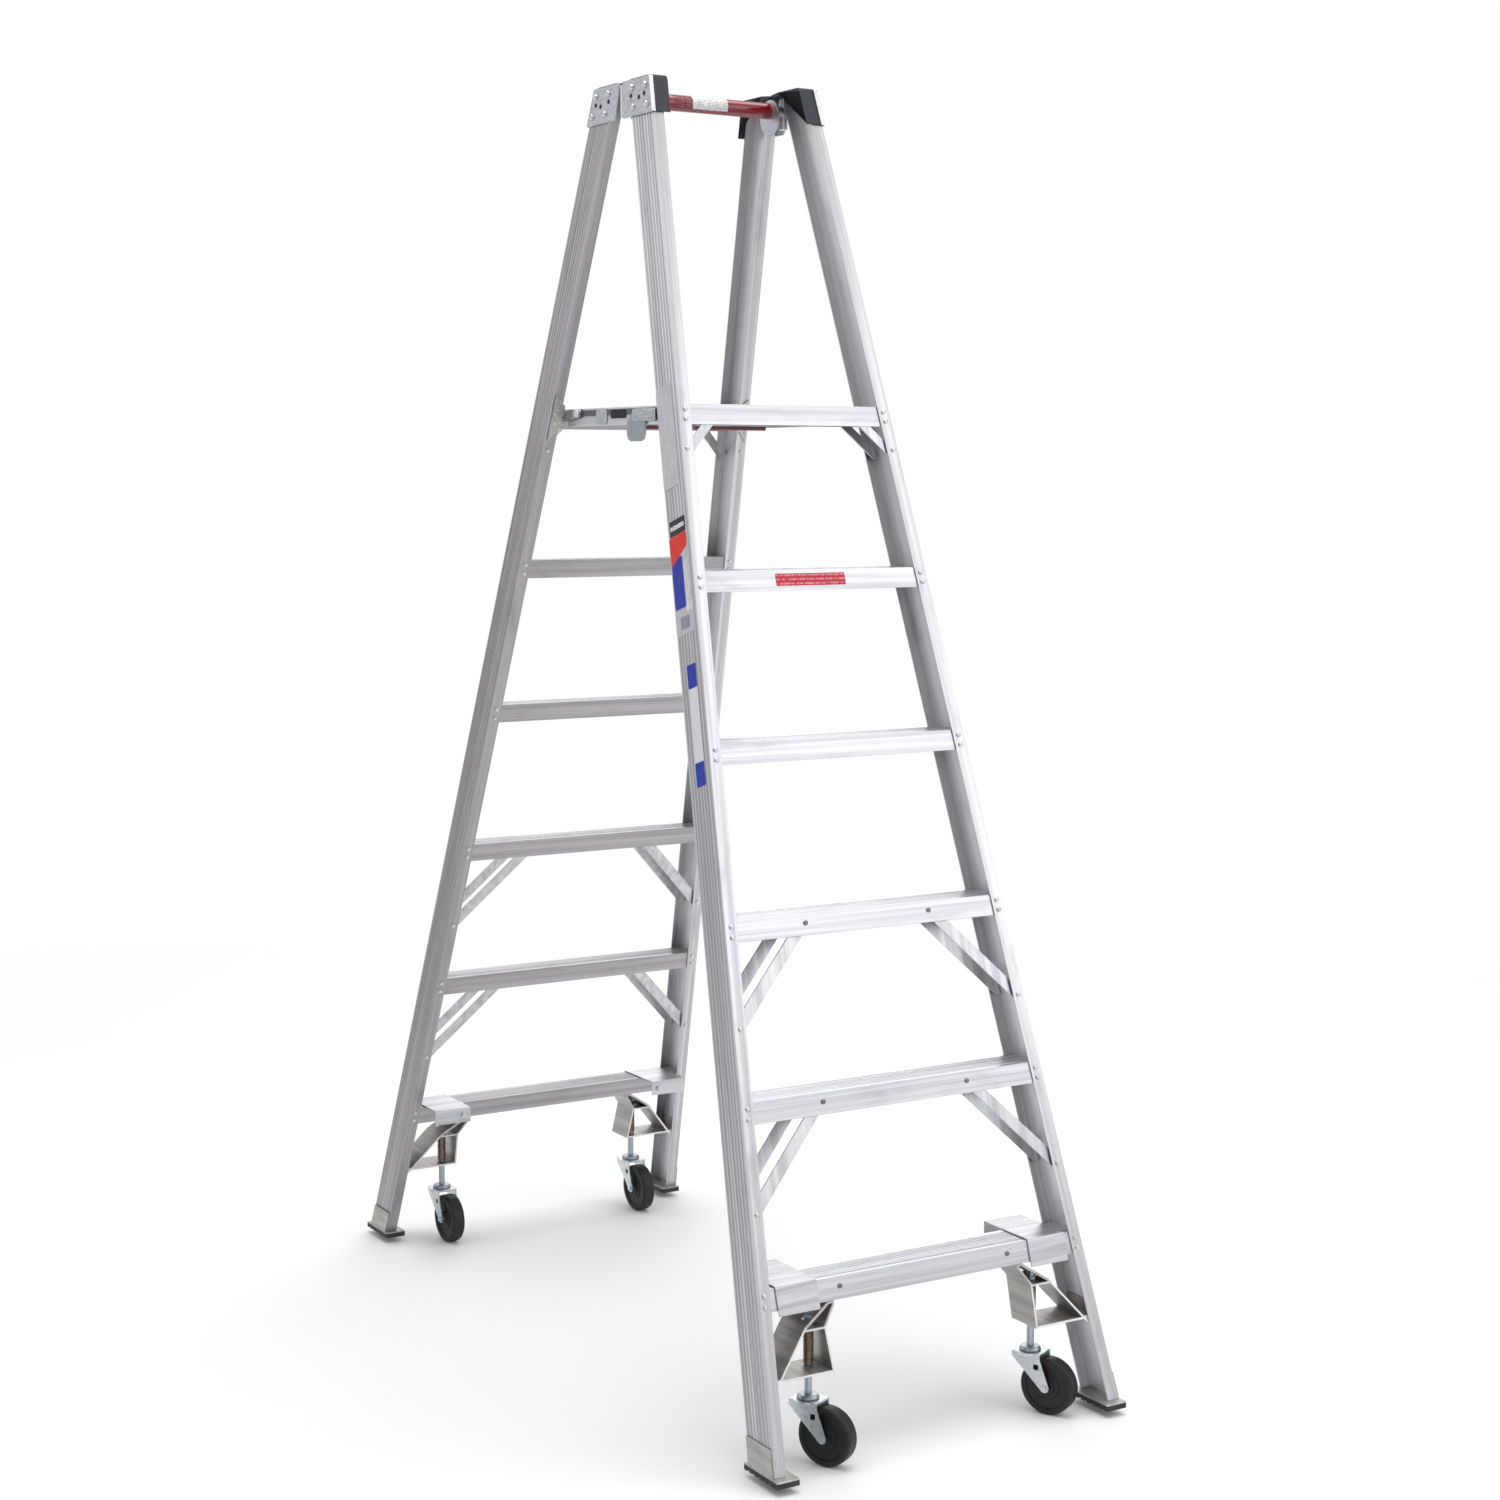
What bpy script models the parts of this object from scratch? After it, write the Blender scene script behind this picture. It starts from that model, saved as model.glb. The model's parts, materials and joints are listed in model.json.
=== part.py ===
"""Twin-sided mobile ladder stand with a folding frame, a platform and four sprung casters.

X runs along the steps, Y from the front frame to the rear frame, Z up. The origin is on the
floor under the middle of the stand, where the caster wheels touch it.
"""
import math

import bmesh
import bpy
from mathutils import Matrix, Vector

# Driving dimensions in metres.
foot_lift = 0.012            # feet clear of the floor while the casters carry the empty stand
spread = 0.8364              # outer face of a rail from the middle plane, at floor level
lean = 0.3136                # how far that face leans in for each metre of height
half_width = 0.3561          # outer side of a rail from the middle plane, at floor level
flare = 0.0772               # how far that side closes in for each metre of height
rail_depth = 0.0775          # rail section along Y
flange_width = 0.0233
web = 0.0028
flange = 0.0026
rail_bottom = foot_lift + 0.012
rail_top = 2.339
first_step = 0.3063          # top of the lowest tread
step_pitch = 0.2901
step_count = 5               # treads on each frame under the platform bar
skirt_height = 0.036
gap = 0.0003                 # clearance between pieces that touch
fold_height = 2.316          # axis of the frame hinge, on the middle plane
stem_x = 0.2307
stem_y = 0.7358
wheel_radius = 0.0500
wheel_width = 0.0290
caster_lead = 0.0378         # axle behind the swivel axis
front_yaw = math.radians(-63)
rear_yaw = math.radians(-90)
tilt_pivot = (0.150, 1.7484)     # platform hinge, Y and Z
latch_pivot = (-0.076, 1.742)    # latch hinge on the platform, Y and Z
deck_half = 0.188

sides = {"left": -1, "right": 1}
ends = {"front": -1, "rear": 1}
platform_top = first_step + step_count * step_pitch


def clear_scene():
    for item in list(bpy.data.objects):
        bpy.data.objects.remove(item, do_unlink=True)


def new_collection(name):
    group = bpy.data.collections.new(name)
    bpy.context.scene.collection.children.link(group)
    return group


def new_material(name, color, roughness, metallic):
    made = bpy.data.materials.new(name)
    made.use_nodes = True
    shader = made.node_tree.nodes["Principled BSDF"]
    shader.inputs["Base Color"].default_value = (*color, 1.0)
    shader.inputs["Roughness"].default_value = roughness
    shader.inputs["Metallic"].default_value = metallic
    return made


def outer_x(z):
    return half_width - flare * z


def outer_y(z):
    return spread - lean * z


def add_object(name, mesh, group, material=None):
    made = bpy.data.objects.new(name, mesh)
    group.objects.link(made)
    if material:
        mesh.materials.clear()
        mesh.materials.append(material)
    return made


def set_origin(item, point):
    """Moves the object's origin to a point and leaves its shape where it is."""
    item.data.transform(Matrix.Translation(-Vector(point)))
    item.location = Vector(point)


def tidy(mesh):
    work = bmesh.new()
    work.from_mesh(mesh)
    bmesh.ops.remove_doubles(work, verts=work.verts, dist=0.00001)
    bmesh.ops.recalc_face_normals(work, faces=work.faces)
    work.to_mesh(mesh)
    work.free()


def prism(name, loops, low, high, axis, group, material=None):
    """Extrudes a flat outline, with any holes, from low to high along an axis.

    Outline points are (Y, Z) for axis X, (X, Z) for axis Y and (X, Y) for axis Z.
    """
    curve = bpy.data.curves.new(name + "_outline", "CURVE")
    curve.dimensions = "2D"
    curve.fill_mode = "BOTH"
    curve.extrude = (high - low) / 2
    for loop in loops:
        line = curve.splines.new("POLY")
        line.points.add(len(loop) - 1)
        for point, place in zip(line.points, loop):
            point.co = (place[0], place[1], 0, 1)
        line.use_cyclic_u = True
    turn = {
        "X": Matrix(((0, 0, 1, 0), (1, 0, 0, 0), (0, 1, 0, 0), (0, 0, 0, 1))),
        "Y": Matrix(((1, 0, 0, 0), (0, 0, -1, 0), (0, 1, 0, 0), (0, 0, 0, 1))),
        "Z": Matrix.Identity(4),
    }[axis]
    shift = {"X": (1, 0, 0), "Y": (0, 1, 0), "Z": (0, 0, 1)}[axis]
    guide = bpy.data.objects.new(name + "_outline", curve)
    group.objects.link(guide)
    bpy.context.view_layer.update()
    mesh = bpy.data.meshes.new_from_object(guide.evaluated_get(bpy.context.evaluated_depsgraph_get()))
    bpy.data.objects.remove(guide)
    mesh.transform(Matrix.Translation(Vector(shift) * (low + high) / 2) @ turn)
    tidy(mesh)
    return add_object(name, mesh, group, material)


def reshape(item, rule):
    """Moves every vertex of a piece by a rule on its place."""
    for vertex in item.data.vertices:
        vertex.co = rule(vertex.co.copy())
    tidy(item.data)


def lean_with_rail(item, side, end, height=0.0):
    """Shears a piece so that it follows a rail from the given height."""
    def rule(place):
        rise = place.z - height
        return Vector((place.x - side * flare * rise, place.y - end * lean * rise, place.z))
    reshape(item, rule)


def lean_in_depth(item, end, height):
    """Shears a piece in Y only, along the slope of a frame."""
    def rule(place):
        return Vector((place.x, place.y - end * lean * (place.z - height), place.z))
    reshape(item, rule)


def as_cutter(item, cutters):
    for group in list(item.users_collection):
        group.objects.unlink(item)
    cutters.objects.link(item)
    item.hide_render = True
    item.display_type = "WIRE"
    return item


def combine(item, other, operation, cutters):
    change = item.modifiers.new(operation.lower() + "_" + other.name, "BOOLEAN")
    change.operation = operation
    change.solver = "EXACT"
    change.object = as_cutter(other, cutters)


def cylinder(name, radius, length, place, axis, segments, group):
    mesh = bpy.data.meshes.new(name)
    work = bmesh.new()
    bmesh.ops.create_cone(work, cap_ends=True, segments=segments, radius1=radius, radius2=radius,
                          depth=length)
    work.to_mesh(mesh)
    work.free()
    turn = {"X": Matrix.Rotation(math.pi / 2, 4, "Y"), "Y": Matrix.Rotation(math.pi / 2, 4, "X"),
            "Z": Matrix.Identity(4)}[axis]
    mesh.transform(Matrix.Translation(place) @ turn)
    return add_object(name, mesh, group)


def turned(name, profile, steps, closed, group, material):
    """Spins a profile of (radius, height) points about Z."""
    mesh = bpy.data.meshes.new(name)
    count = len(profile)
    edges = [(i, (i + 1) % count) for i in range(count if closed else count - 1)]
    mesh.from_pydata([(radius, 0, height) for radius, height in profile], edges, [])
    made = add_object(name, mesh, group, material)
    spin = made.modifiers.new("turn", "SCREW")
    spin.axis = "Z"
    spin.steps = steps
    spin.render_steps = steps
    spin.use_merge_vertices = True
    spin.merge_threshold = 0.00005
    return made


def rail(name, side, end, group, material):
    """A channel with its web outside, fluted lengthwise, and its flanges pointing in."""
    flutes = 7
    flute_pitch = rail_depth / (flutes + 0.5)
    flute_depth = 0.0009
    x0 = outer_x(0)
    y0 = outer_y(0)
    loop = [(x0 - flange_width, y0), (x0, y0)]
    for i in range(flutes):
        start = y0 - flute_pitch * (i + 0.45)
        stop = start - flute_pitch * 0.6
        loop += [(x0, start), (x0 - flute_depth, start - 0.0008)]
        loop += [(x0 - flute_depth, stop + 0.0008), (x0, stop)]
    loop += [(x0, y0 - rail_depth), (x0 - flange_width, y0 - rail_depth)]
    loop += [(x0 - flange_width, y0 - rail_depth + flange), (x0 - web, y0 - rail_depth + flange)]
    loop += [(x0 - web, y0 - flange), (x0 - flange_width, y0 - flange)]
    loop = [(side * x, end * y) for x, y in loop]
    made = prism(name, [loop], rail_bottom, rail_top, "Z", group, material)
    lean_with_rail(made, side, end)
    set_origin(made, (side * outer_x(rail_bottom), end * outer_y(rail_bottom), rail_bottom))
    return made


def tread(name, top, end, group, material):
    """A ribbed tread with a skirt down each long edge, its ends running into the rails."""
    skirt = 0.0025
    plate = 0.0032
    ribs = 7
    rib_height = 0.0013
    inset = flange + gap

    def outside(z):
        return outer_y(z) - inset

    def inside(z):
        return outer_y(z) - rail_depth + inset

    low = top - skirt_height
    loop = [(outside(low), low), (outside(top), top)]
    first = outside(top) - 0.008
    pitch = (first - inside(top) - 0.008) / ribs
    for i in range(ribs):
        start = first - pitch * i
        loop += [(start, top), (start - 0.001, top - rib_height)]
        loop += [(start - pitch * 0.45, top - rib_height), (start - pitch * 0.45 - 0.001, top)]
    loop += [(inside(top), top), (inside(low), low), (inside(low) + skirt, low)]
    under = top - plate
    loop += [(inside(under) + skirt, under), (outside(under) - skirt, under), (outside(low) - skirt, low)]
    made = prism(name, [[(end * y, z) for y, z in loop]], -1, 1, "X", group, material)

    def to_rails(place):
        return Vector((math.copysign(outer_x(place.z) - web - gap, place.x), place.y, place.z))
    reshape(made, to_rails)
    set_origin(made, (0, end * outer_y(top), top))
    return made


def platform_bar(name, end, group, material, cutters):
    """The tread at platform level. On the rear frame it carries the platform's pivot ears."""
    made = tread(name, platform_top, end, group, material)
    if end < 0:
        return made
    ear_x = deck_half + 0.0025
    ear_thickness = 0.003
    pivot_y, pivot_z = tilt_pivot
    radius = 0.0085
    hole_radius = 0.0043
    nose = [(pivot_y + radius * math.cos(math.radians(a)), pivot_z + radius * math.sin(math.radians(a)))
            for a in range(90, 271, 20)]
    root = outer_y(pivot_z) - rail_depth + flange + 0.001
    loop = nose + [(root + 0.0026, pivot_z - radius - 0.008), (root, pivot_z + 0.004)]
    hole = [(pivot_y + hole_radius * math.cos(math.tau * i / 16),
             pivot_z + hole_radius * math.sin(math.tau * i / 16)) for i in range(16)]
    for side in sides.values():
        low, high = sorted((side * ear_x, side * (ear_x + ear_thickness)))
        ear = prism("pivot_ear", [loop, hole], low, high, "X", group)
        ear.location = (0, 0, 0)
        combine(made, ear, "UNION", cutters)
    return made


def hinge_plate(name, side, end, group, material):
    """A pressed steel plate over the top of a rail, with a lip at the front and below."""
    thickness = 0.0036
    high = 2.345
    low = 2.277
    lip = 0.006
    seam_high = 0.004
    seam_low = 0.012
    loop = [(seam_low, low + lip), (seam_high, high), (outer_y(high) + 0.003, high)]
    loop += [(outer_y(low) + 0.003, low), (seam_low + lip, low)]
    x = outer_x(0) + gap
    made = prism(name, [[(end * y, z) for y, z in loop]], min(side * x, side * (x + thickness)),
                 max(side * x, side * (x + thickness)), "X", group, material)

    def rule(place):
        return Vector((place.x - side * flare * place.z, place.y, place.z))
    reshape(made, rule)
    edge = made.modifiers.new("rounded_edge", "BEVEL")
    edge.width = 0.0012
    edge.segments = 1
    edge.limit_method = "ANGLE"
    set_origin(made, (side * outer_x(high), end * 0.05, (low + high) / 2))
    return made


def rail_cap(name, side, end, group, material):
    """A moulded cap over the end of a rail, running down its outer flange."""
    low = 2.279
    high = 2.3475
    wall = 0.0036
    seat = rail_top + gap
    corner = 0.006
    loop = [(outer_y(low) + gap, low), (outer_y(low) + wall, low), (outer_y(high) + wall, high - corner)]
    loop += [(outer_y(high) + wall - corner * 0.3, high - corner * 0.3), (outer_y(high) + wall - corner, high)]
    loop += [(0.030, high), (0.002, high - 0.003), (0.002, seat), (outer_y(seat) + gap, seat)]
    inner = outer_x(0) - 0.036
    outer = outer_x(0) - 0.0005
    made = prism(name, [[(end * y, z) for y, z in loop]], min(side * inner, side * outer),
                 max(side * inner, side * outer), "X", group, material)

    def rule(place):
        return Vector((place.x - side * flare * place.z, place.y, place.z))
    reshape(made, rule)
    set_origin(made, (side * outer_x(high), end * 0.05, high))
    return made


def handle_tube(group, material, cutters):
    """The hand tube across the top, on the fold axis, with a knuckle plate and pin at each end."""
    inner = 0.139
    made = cylinder("top_handle_tube", 0.015, 2 * inner + 0.002, (0, 0, fold_height), "X", 24, group)
    made.data.materials.append(material)
    for side in sides.values():
        plate = cylinder("knuckle_plate", 0.033, 0.0036, (side * (inner + 0.0018), 0, fold_height - 0.012),
                         "X", 24, group)
        combine(made, plate, "UNION", cutters)
        pin = cylinder("hinge_pin", 0.010, 0.032, (side * (inner + 0.018), 0, fold_height), "X", 16, group)
        combine(made, pin, "UNION", cutters)
    set_origin(made, (0, 0, fold_height))
    return made


def foot(name, side, end, group, material, cutters):
    """A shoe over the end of a rail with a ribbed pad under it."""
    base_top = rail_bottom - gap
    base_low = base_top - 0.003
    toe = 0.017
    heel = 0.010
    pad_ribs = 6
    groove = 0.0035
    front = outer_y(base_top) + toe
    back = outer_y(base_top) - rail_depth - heel
    loop = [(back, base_top), (back, foot_lift)]
    pitch = (front - back) / (pad_ribs + 0.5)
    for i in range(pad_ribs):
        start = back + pitch * (i + 0.55)
        groove_top = foot_lift + groove + 0.0002 * i
        loop += [(start, foot_lift), (start + 0.001, groove_top)]
        loop += [(start + pitch * 0.35, groove_top), (start + pitch * 0.35 + 0.001, foot_lift)]
    loop += [(front, foot_lift), (front, base_low), (front - 0.003, base_top)]
    outer = outer_x(base_top) + 0.004
    inner = outer - 0.0425
    made = prism(name, [[(end * y, z) for y, z in loop]], min(side * inner, side * outer),
                 max(side * inner, side * outer), "X", group, material)
    shoe_top = foot_lift + 0.056
    shoe_x = outer_x(0) + gap
    thickness = 0.0026
    shell = [(outer_y(0) - 0.001, base_low), (outer_y(0) - 0.001, shoe_top)]
    shell += [(outer_y(0) - rail_depth + 0.001, shoe_top), (outer_y(0) - rail_depth + 0.001, base_low)]
    low, high = sorted((side * shoe_x, side * (shoe_x + thickness)))
    shoe = prism("shoe_side", [[(end * y, z) for y, z in shell]], low, high, "X", group)
    lean_with_rail(shoe, side, end)
    combine(made, shoe, "UNION", cutters)
    set_origin(made, (side * outer_x(0), end * outer_y(0), foot_lift))
    return made


def step_cover(name, side, end, group, material):
    """A folded plate over the end of the lowest tread, above the caster."""
    sheet = 0.0025
    inner_x = 0.218
    outer_edge = 0.2985
    skirt_low = 0.2620
    reach = 0.612
    flap_low = 0.2780

    def face(z):
        return outer_y(z) - flange + gap

    under = first_step + gap
    over = under + sheet
    loop = [(face(skirt_low), skirt_low), (face(skirt_low) + sheet, skirt_low), (face(over) + sheet, over)]
    loop += [(reach, over), (reach, flap_low), (reach + sheet, flap_low), (reach + sheet, under)]
    loop += [(face(under), under)]
    made = prism(name, [[(end * y, z) for y, z in loop]], min(side * inner_x, side * outer_edge),
                 max(side * inner_x, side * outer_edge), "X", group, material)
    set_origin(made, (side * stem_x, end * stem_y, over))
    return made


def caster_bracket(name, side, end, group, material, cutters):
    """An extruded frame under the lowest tread, with two plates that guide the caster's spindle."""
    top = first_step - skirt_height - gap
    outer_loop = [(0.1890, top), (0.2010, top), (0.2525, 0.2370), (0.3130, 0.1665), (0.3365, 0.1665),
                  (0.3365, 0.1850), (0.3385, 0.1850), (0.3410, 0.1520), (0.3365, 0.1520), (0.3365, 0.1620),
                  (0.3215, 0.1620), (0.3195, 0.1555), (0.3150, 0.1580), (0.3120, 0.1615),
                  (0.2080, 0.1615), (0.2115, 0.2325), (0.1890, 0.2640)]
    lower_window = [(0.2117, 0.1652), (0.3094, 0.1652), (0.2538, 0.2300), (0.2150, 0.2300)]
    upper_window = [(0.2155, 0.2335), (0.2500, 0.2335), (0.1985, 0.2662), (0.1920, 0.2662)]
    half_depth = rail_depth / 2 - flange - 0.0006
    guide_height = 0.2
    middle = end * (outer_y(guide_height) - rail_depth / 2)
    loops = [[(side * x, z) for x, z in loop] for loop in (outer_loop, lower_window, upper_window)]
    made = prism(name, loops, middle - half_depth, middle + half_depth, "Y", group, material)
    lean_in_depth(made, end, guide_height)
    stem_hole = 0.0071
    nut_hole = 0.0125
    nut_seat = 0.2336
    bore = cylinder("stem_bore", stem_hole, 0.12, (side * stem_x, end * stem_y, 0.195), "Z", 20, group)
    combine(made, bore, "DIFFERENCE", cutters)
    pocket = cylinder("nut_bore", nut_hole, 0.04, (side * stem_x, end * stem_y, nut_seat + 0.02), "Z", 20, group)
    combine(made, pocket, "DIFFERENCE", cutters)
    set_origin(made, (side * stem_x, end * stem_y, guide_height))
    return made


def caster_spindle(name, side, end, group, material):
    """The plunger that a spring pushes down, with its nut above and its collar on the fork."""
    profile = [(0.0, 0.2500), (0.0055, 0.2500), (0.0064, 0.2490), (0.0064, 0.2410), (0.0092, 0.2410),
               (0.0092, 0.2340), (0.0064, 0.2340), (0.0064, 0.1160), (0.0165, 0.1150), (0.0190, 0.1115),
               (0.0190, 0.1085), (0.0, 0.1085)]
    base = 0.1085
    made = turned(name, [(radius, height - base) for radius, height in profile], 20, False, group, material)
    made.location = (side * stem_x, end * stem_y, base)
    return made


def caster_fork(name, side, end, yaw, group, material, cutters):
    """A pressed fork: a swivel plate and two tapered legs that hold the axle."""
    top = 0.1080
    sheet = 0.0030
    half_inside = 0.0185
    half_outside = half_inside + sheet
    tip = 0.0085
    axle = (caster_lead, wheel_radius)
    arc = [(axle[0] + tip * math.cos(math.radians(a)), axle[1] + tip * math.sin(math.radians(a)))
           for a in range(-150, 31, 20)]
    leg = [(-0.0250, top), (-0.0250, 0.0985)] + arc + [(0.0285, 0.0985), (0.0285, top)]
    hole = [(0.0165, 0.0800), (0.0165, 0.0895), (0.0260, 0.0895), (0.0260, 0.0800)]
    made = prism(name, [leg], -half_outside, half_outside, "Y", group, material)
    room = 0.06
    hollow = prism("fork_hollow", [[(-half_inside, 0.0), (half_inside, 0.0), (half_inside, top - sheet),
                                    (-half_inside, top - sheet)]], -room, room, "X", group)
    combine(made, hollow, "DIFFERENCE", cutters)
    windows = prism("fork_windows", [hole], -0.03, 0.03, "Y", group)
    combine(made, windows, "DIFFERENCE", cutters)
    pin = cylinder("axle_bolt", 0.0048, 2 * half_outside + 0.008, (axle[0], 0, axle[1]), "Y", 16, group)
    combine(made, pin, "UNION", cutters)
    plate = cylinder("swivel_plate", 0.0270, sheet + 0.001, (0, 0, top - (sheet + 0.001) / 2), "Z", 24, group)
    combine(made, plate, "UNION", cutters)
    place = Matrix.Translation((side * stem_x, end * stem_y, 0)) @ Matrix.Rotation(yaw, 4, "Z")
    made.matrix_world = place
    for change in made.modifiers:
        change.object.matrix_world = place
    return made


def caster_wheel(name, side, end, yaw, group, material):
    """A solid wheel with a rounded tread, dished sides and a hub that runs on the axle."""
    half = wheel_width / 2
    hub = 0.0165
    profile = [(0.0052, hub), (0.0115, hub), (0.0125, half * 0.62), (0.0330, half * 0.62),
               (0.0355, half * 0.86), (0.0430, half), (0.0475, half * 0.80), (wheel_radius, half * 0.38)]
    profile += [(radius, -height) for radius, height in reversed(profile)]
    made = turned(name, profile, 28, True, group, material)
    x = side * stem_x + caster_lead * math.cos(yaw)
    y = end * stem_y + caster_lead * math.sin(yaw)
    place = Matrix.Translation((x, y, wheel_radius))
    made.matrix_world = place @ Matrix.Rotation(yaw, 4, "Z") @ Matrix.Rotation(math.pi / 2, 4, "X")
    return made


def brace_pair(name, side, end, level, group, material, cutters):
    """Two straps, one behind each skirt of a tread, running down to the rail and tied at the top."""
    top = first_step + (level - 1) * step_pitch
    rivet_z = top - 0.1735
    rivet_x = outer_x(rivet_z) - 0.0105
    run = 0.139
    half_strap = 0.0142
    head = 0.0060
    tail = 0.0125
    thickness = 0.0030
    slope = (top - skirt_height - rivet_z) / run
    rise = top - head - rivet_z
    tail_x = outer_x(rivet_z) - web - 0.0015
    loop = [(rivet_x - rise / slope - half_strap, top - head), (rivet_x - rise / slope + half_strap, top - head),
            (rivet_x + half_strap * 0.3, rivet_z + half_strap * 0.7 * slope), (tail_x, rivet_z + 0.004),
            (tail_x, rivet_z - tail), (rivet_x - 0.004, rivet_z - tail)]
    loop = [(side * x, z) for x, z in loop]
    outside = outer_y(top) - flange - 0.0031
    inside = outer_y(top) - rail_depth + flange + 0.0031
    near, far = sorted((end * (outside - thickness), end * outside))
    made = prism(name, [loop], near, far, "Y", group, material)
    near, far = sorted((end * inside, end * (inside + thickness)))
    twin = prism("brace_twin", [loop], near, far, "Y", group)
    tie_top = top - 0.0120
    tie_middle = rivet_x - (tie_top - rivet_z) / slope
    tie = [(side * (tie_middle - 0.009), tie_top - thickness), (side * (tie_middle - 0.009), tie_top),
           (side * (tie_middle + 0.009), tie_top), (side * (tie_middle + 0.009), tie_top - thickness)]
    near, far = sorted((end * (inside + 0.001), end * (outside - 0.001)))
    bridge = prism("brace_tie", [tie], near, far, "Y", group)
    for item in (made, twin, bridge):
        lean_in_depth(item, end, top)
    combine(made, twin, "UNION", cutters)
    combine(made, bridge, "UNION", cutters)
    set_origin(made, (side * rivet_x, end * outer_y(rivet_z), rivet_z))
    return made


def platform_deck(group, material, cutters):
    """The standing surface, ribbed from front to rear, with deep sides that carry its pivot pins."""
    front = -0.193
    rear = 0.201
    bottom = 1.724
    side_wall = 0.0025
    plate = 0.0032
    ribs = 15
    rib_height = 0.0012
    x0 = deck_half
    loop = [(-x0, bottom), (-x0, platform_top)]
    pitch = (2 * x0 - 0.012) / ribs
    for i in range(ribs):
        start = -x0 + 0.008 + pitch * i
        loop += [(start, platform_top), (start + 0.001, platform_top - rib_height)]
        loop += [(start + pitch * 0.55, platform_top - rib_height), (start + pitch * 0.55 + 0.001, platform_top)]
    loop += [(x0, platform_top), (x0, bottom), (x0 - side_wall, bottom), (x0 - side_wall, platform_top - plate)]
    loop += [(-x0 + side_wall, platform_top - plate), (-x0 + side_wall, bottom)]
    made = prism("platform_deck", [loop], front, rear, "Y", group, material)
    for side in sides.values():
        pin = cylinder("tilt_pin", 0.0040, 0.0085, (side * (x0 + 0.00325), *tilt_pivot), "X", 16, group)
        combine(made, pin, "UNION", cutters)
    stud = cylinder("latch_stud", 0.0035, 0.0070, (-(x0 + 0.0025), *latch_pivot), "X", 12, group)
    combine(made, stud, "UNION", cutters)
    set_origin(made, (0, *tilt_pivot))
    return made


def platform_latch(group, material, cutters):
    """A hanging latch plate on the platform's side, with its corners rounded below."""
    high = latch_pivot[1] + 0.007
    low = 1.6935
    front = -0.1105
    rear = -0.0415
    corner = 0.014
    x = -(deck_half + 0.0006)
    thickness = 0.0030
    loop = [(latch_pivot[0] - 0.010, high), (front, 1.7300), (front, low + corner)]
    loop += [(front + corner * 0.3, low + corner * 0.3), (front + corner, low), (rear - corner, low)]
    loop += [(rear - corner * 0.3, low + corner * 0.3), (rear, low + corner), (rear, 1.7300)]
    loop += [(latch_pivot[0] + 0.010, high)]
    made = prism("platform_latch", [loop], x - thickness, x, "X", group, material)
    bore = cylinder("latch_bore", 0.0038, 0.02, (x, *latch_pivot), "X", 16, group)
    combine(made, bore, "DIFFERENCE", cutters)
    set_origin(made, (x, *latch_pivot))
    return made


def release_bar(group, material):
    """The bar under the platform that works the latch."""
    start = -(deck_half + 0.0003)
    stop = 0.072
    made = cylinder("latch_release_bar", 0.0040, stop - start, ((start + stop) / 2, -0.096, 1.7185), "X", 14, group)
    made.data.materials.append(material)
    set_origin(made, (start, -0.096, 1.7185))
    return made


def build_caster(corner, side, end, group, materials, cutters):
    yaw = front_yaw if end < 0 else rear_yaw
    caster_bracket(corner + "_caster_bracket", side, end, group, materials["aluminium"], cutters)
    caster_spindle(corner + "_caster_spindle", side, end, group, materials["zinc"])
    caster_fork(corner + "_caster_fork", side, end, yaw, group, materials["zinc"], cutters)
    caster_wheel(corner + "_caster_wheel", side, end, yaw, group, materials["rubber"])


def build_corner(corner, side, end, group, materials, cutters):
    rail(corner + "_rail", side, end, group, materials["aluminium"])
    hinge_plate(corner + "_hinge_plate", side, end, group, materials["steel"])
    rail_cap(corner + "_cap", side, end, group, materials["plastic"])
    foot(corner + "_foot", side, end, group, materials["rubber"], cutters)
    step_cover(corner + "_step_cover", side, end, group, materials["aluminium"])
    for level in (2, 3):
        brace_pair(corner + "_brace_%d" % level, side, end, level, group, materials["aluminium"], cutters)
    build_caster(corner, side, end, group, materials, cutters)


def build():
    clear_scene()
    group = new_collection("mobile_ladder_stand")
    cutters = new_collection("cutters")
    materials = {
        "aluminium": new_material("aluminium", (0.78, 0.78, 0.80), 0.35, 1.0),
        "steel": new_material("steel", (0.62, 0.63, 0.65), 0.45, 1.0),
        "zinc": new_material("zinc", (0.60, 0.64, 0.66), 0.35, 1.0),
        "plastic": new_material("plastic", (0.05, 0.05, 0.06), 0.50, 0.0),
        "rubber": new_material("rubber", (0.02, 0.02, 0.02), 0.70, 0.0),
        "red": new_material("red", (0.35, 0.01, 0.02), 0.25, 0.0),
    }
    for end_name, end in ends.items():
        for number in range(step_count):
            name = "%s_step_%d" % (end_name, number + 1)
            tread(name, first_step + number * step_pitch, end, group, materials["aluminium"])
        platform_bar(end_name + "_platform_bar", end, group, materials["aluminium"], cutters)
        for side_name, side in sides.items():
            build_corner(end_name + "_" + side_name, side, end, group, materials, cutters)
    handle_tube(group, materials["red"], cutters)
    platform_deck(group, materials["aluminium"], cutters)
    platform_latch(group, materials["zinc"], cutters)
    release_bar(group, materials["red"])


build()
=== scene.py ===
# Looks for the mobile ladder stand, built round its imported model
import json
import math

import bpy
from mathutils import Matrix, Vector

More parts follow.
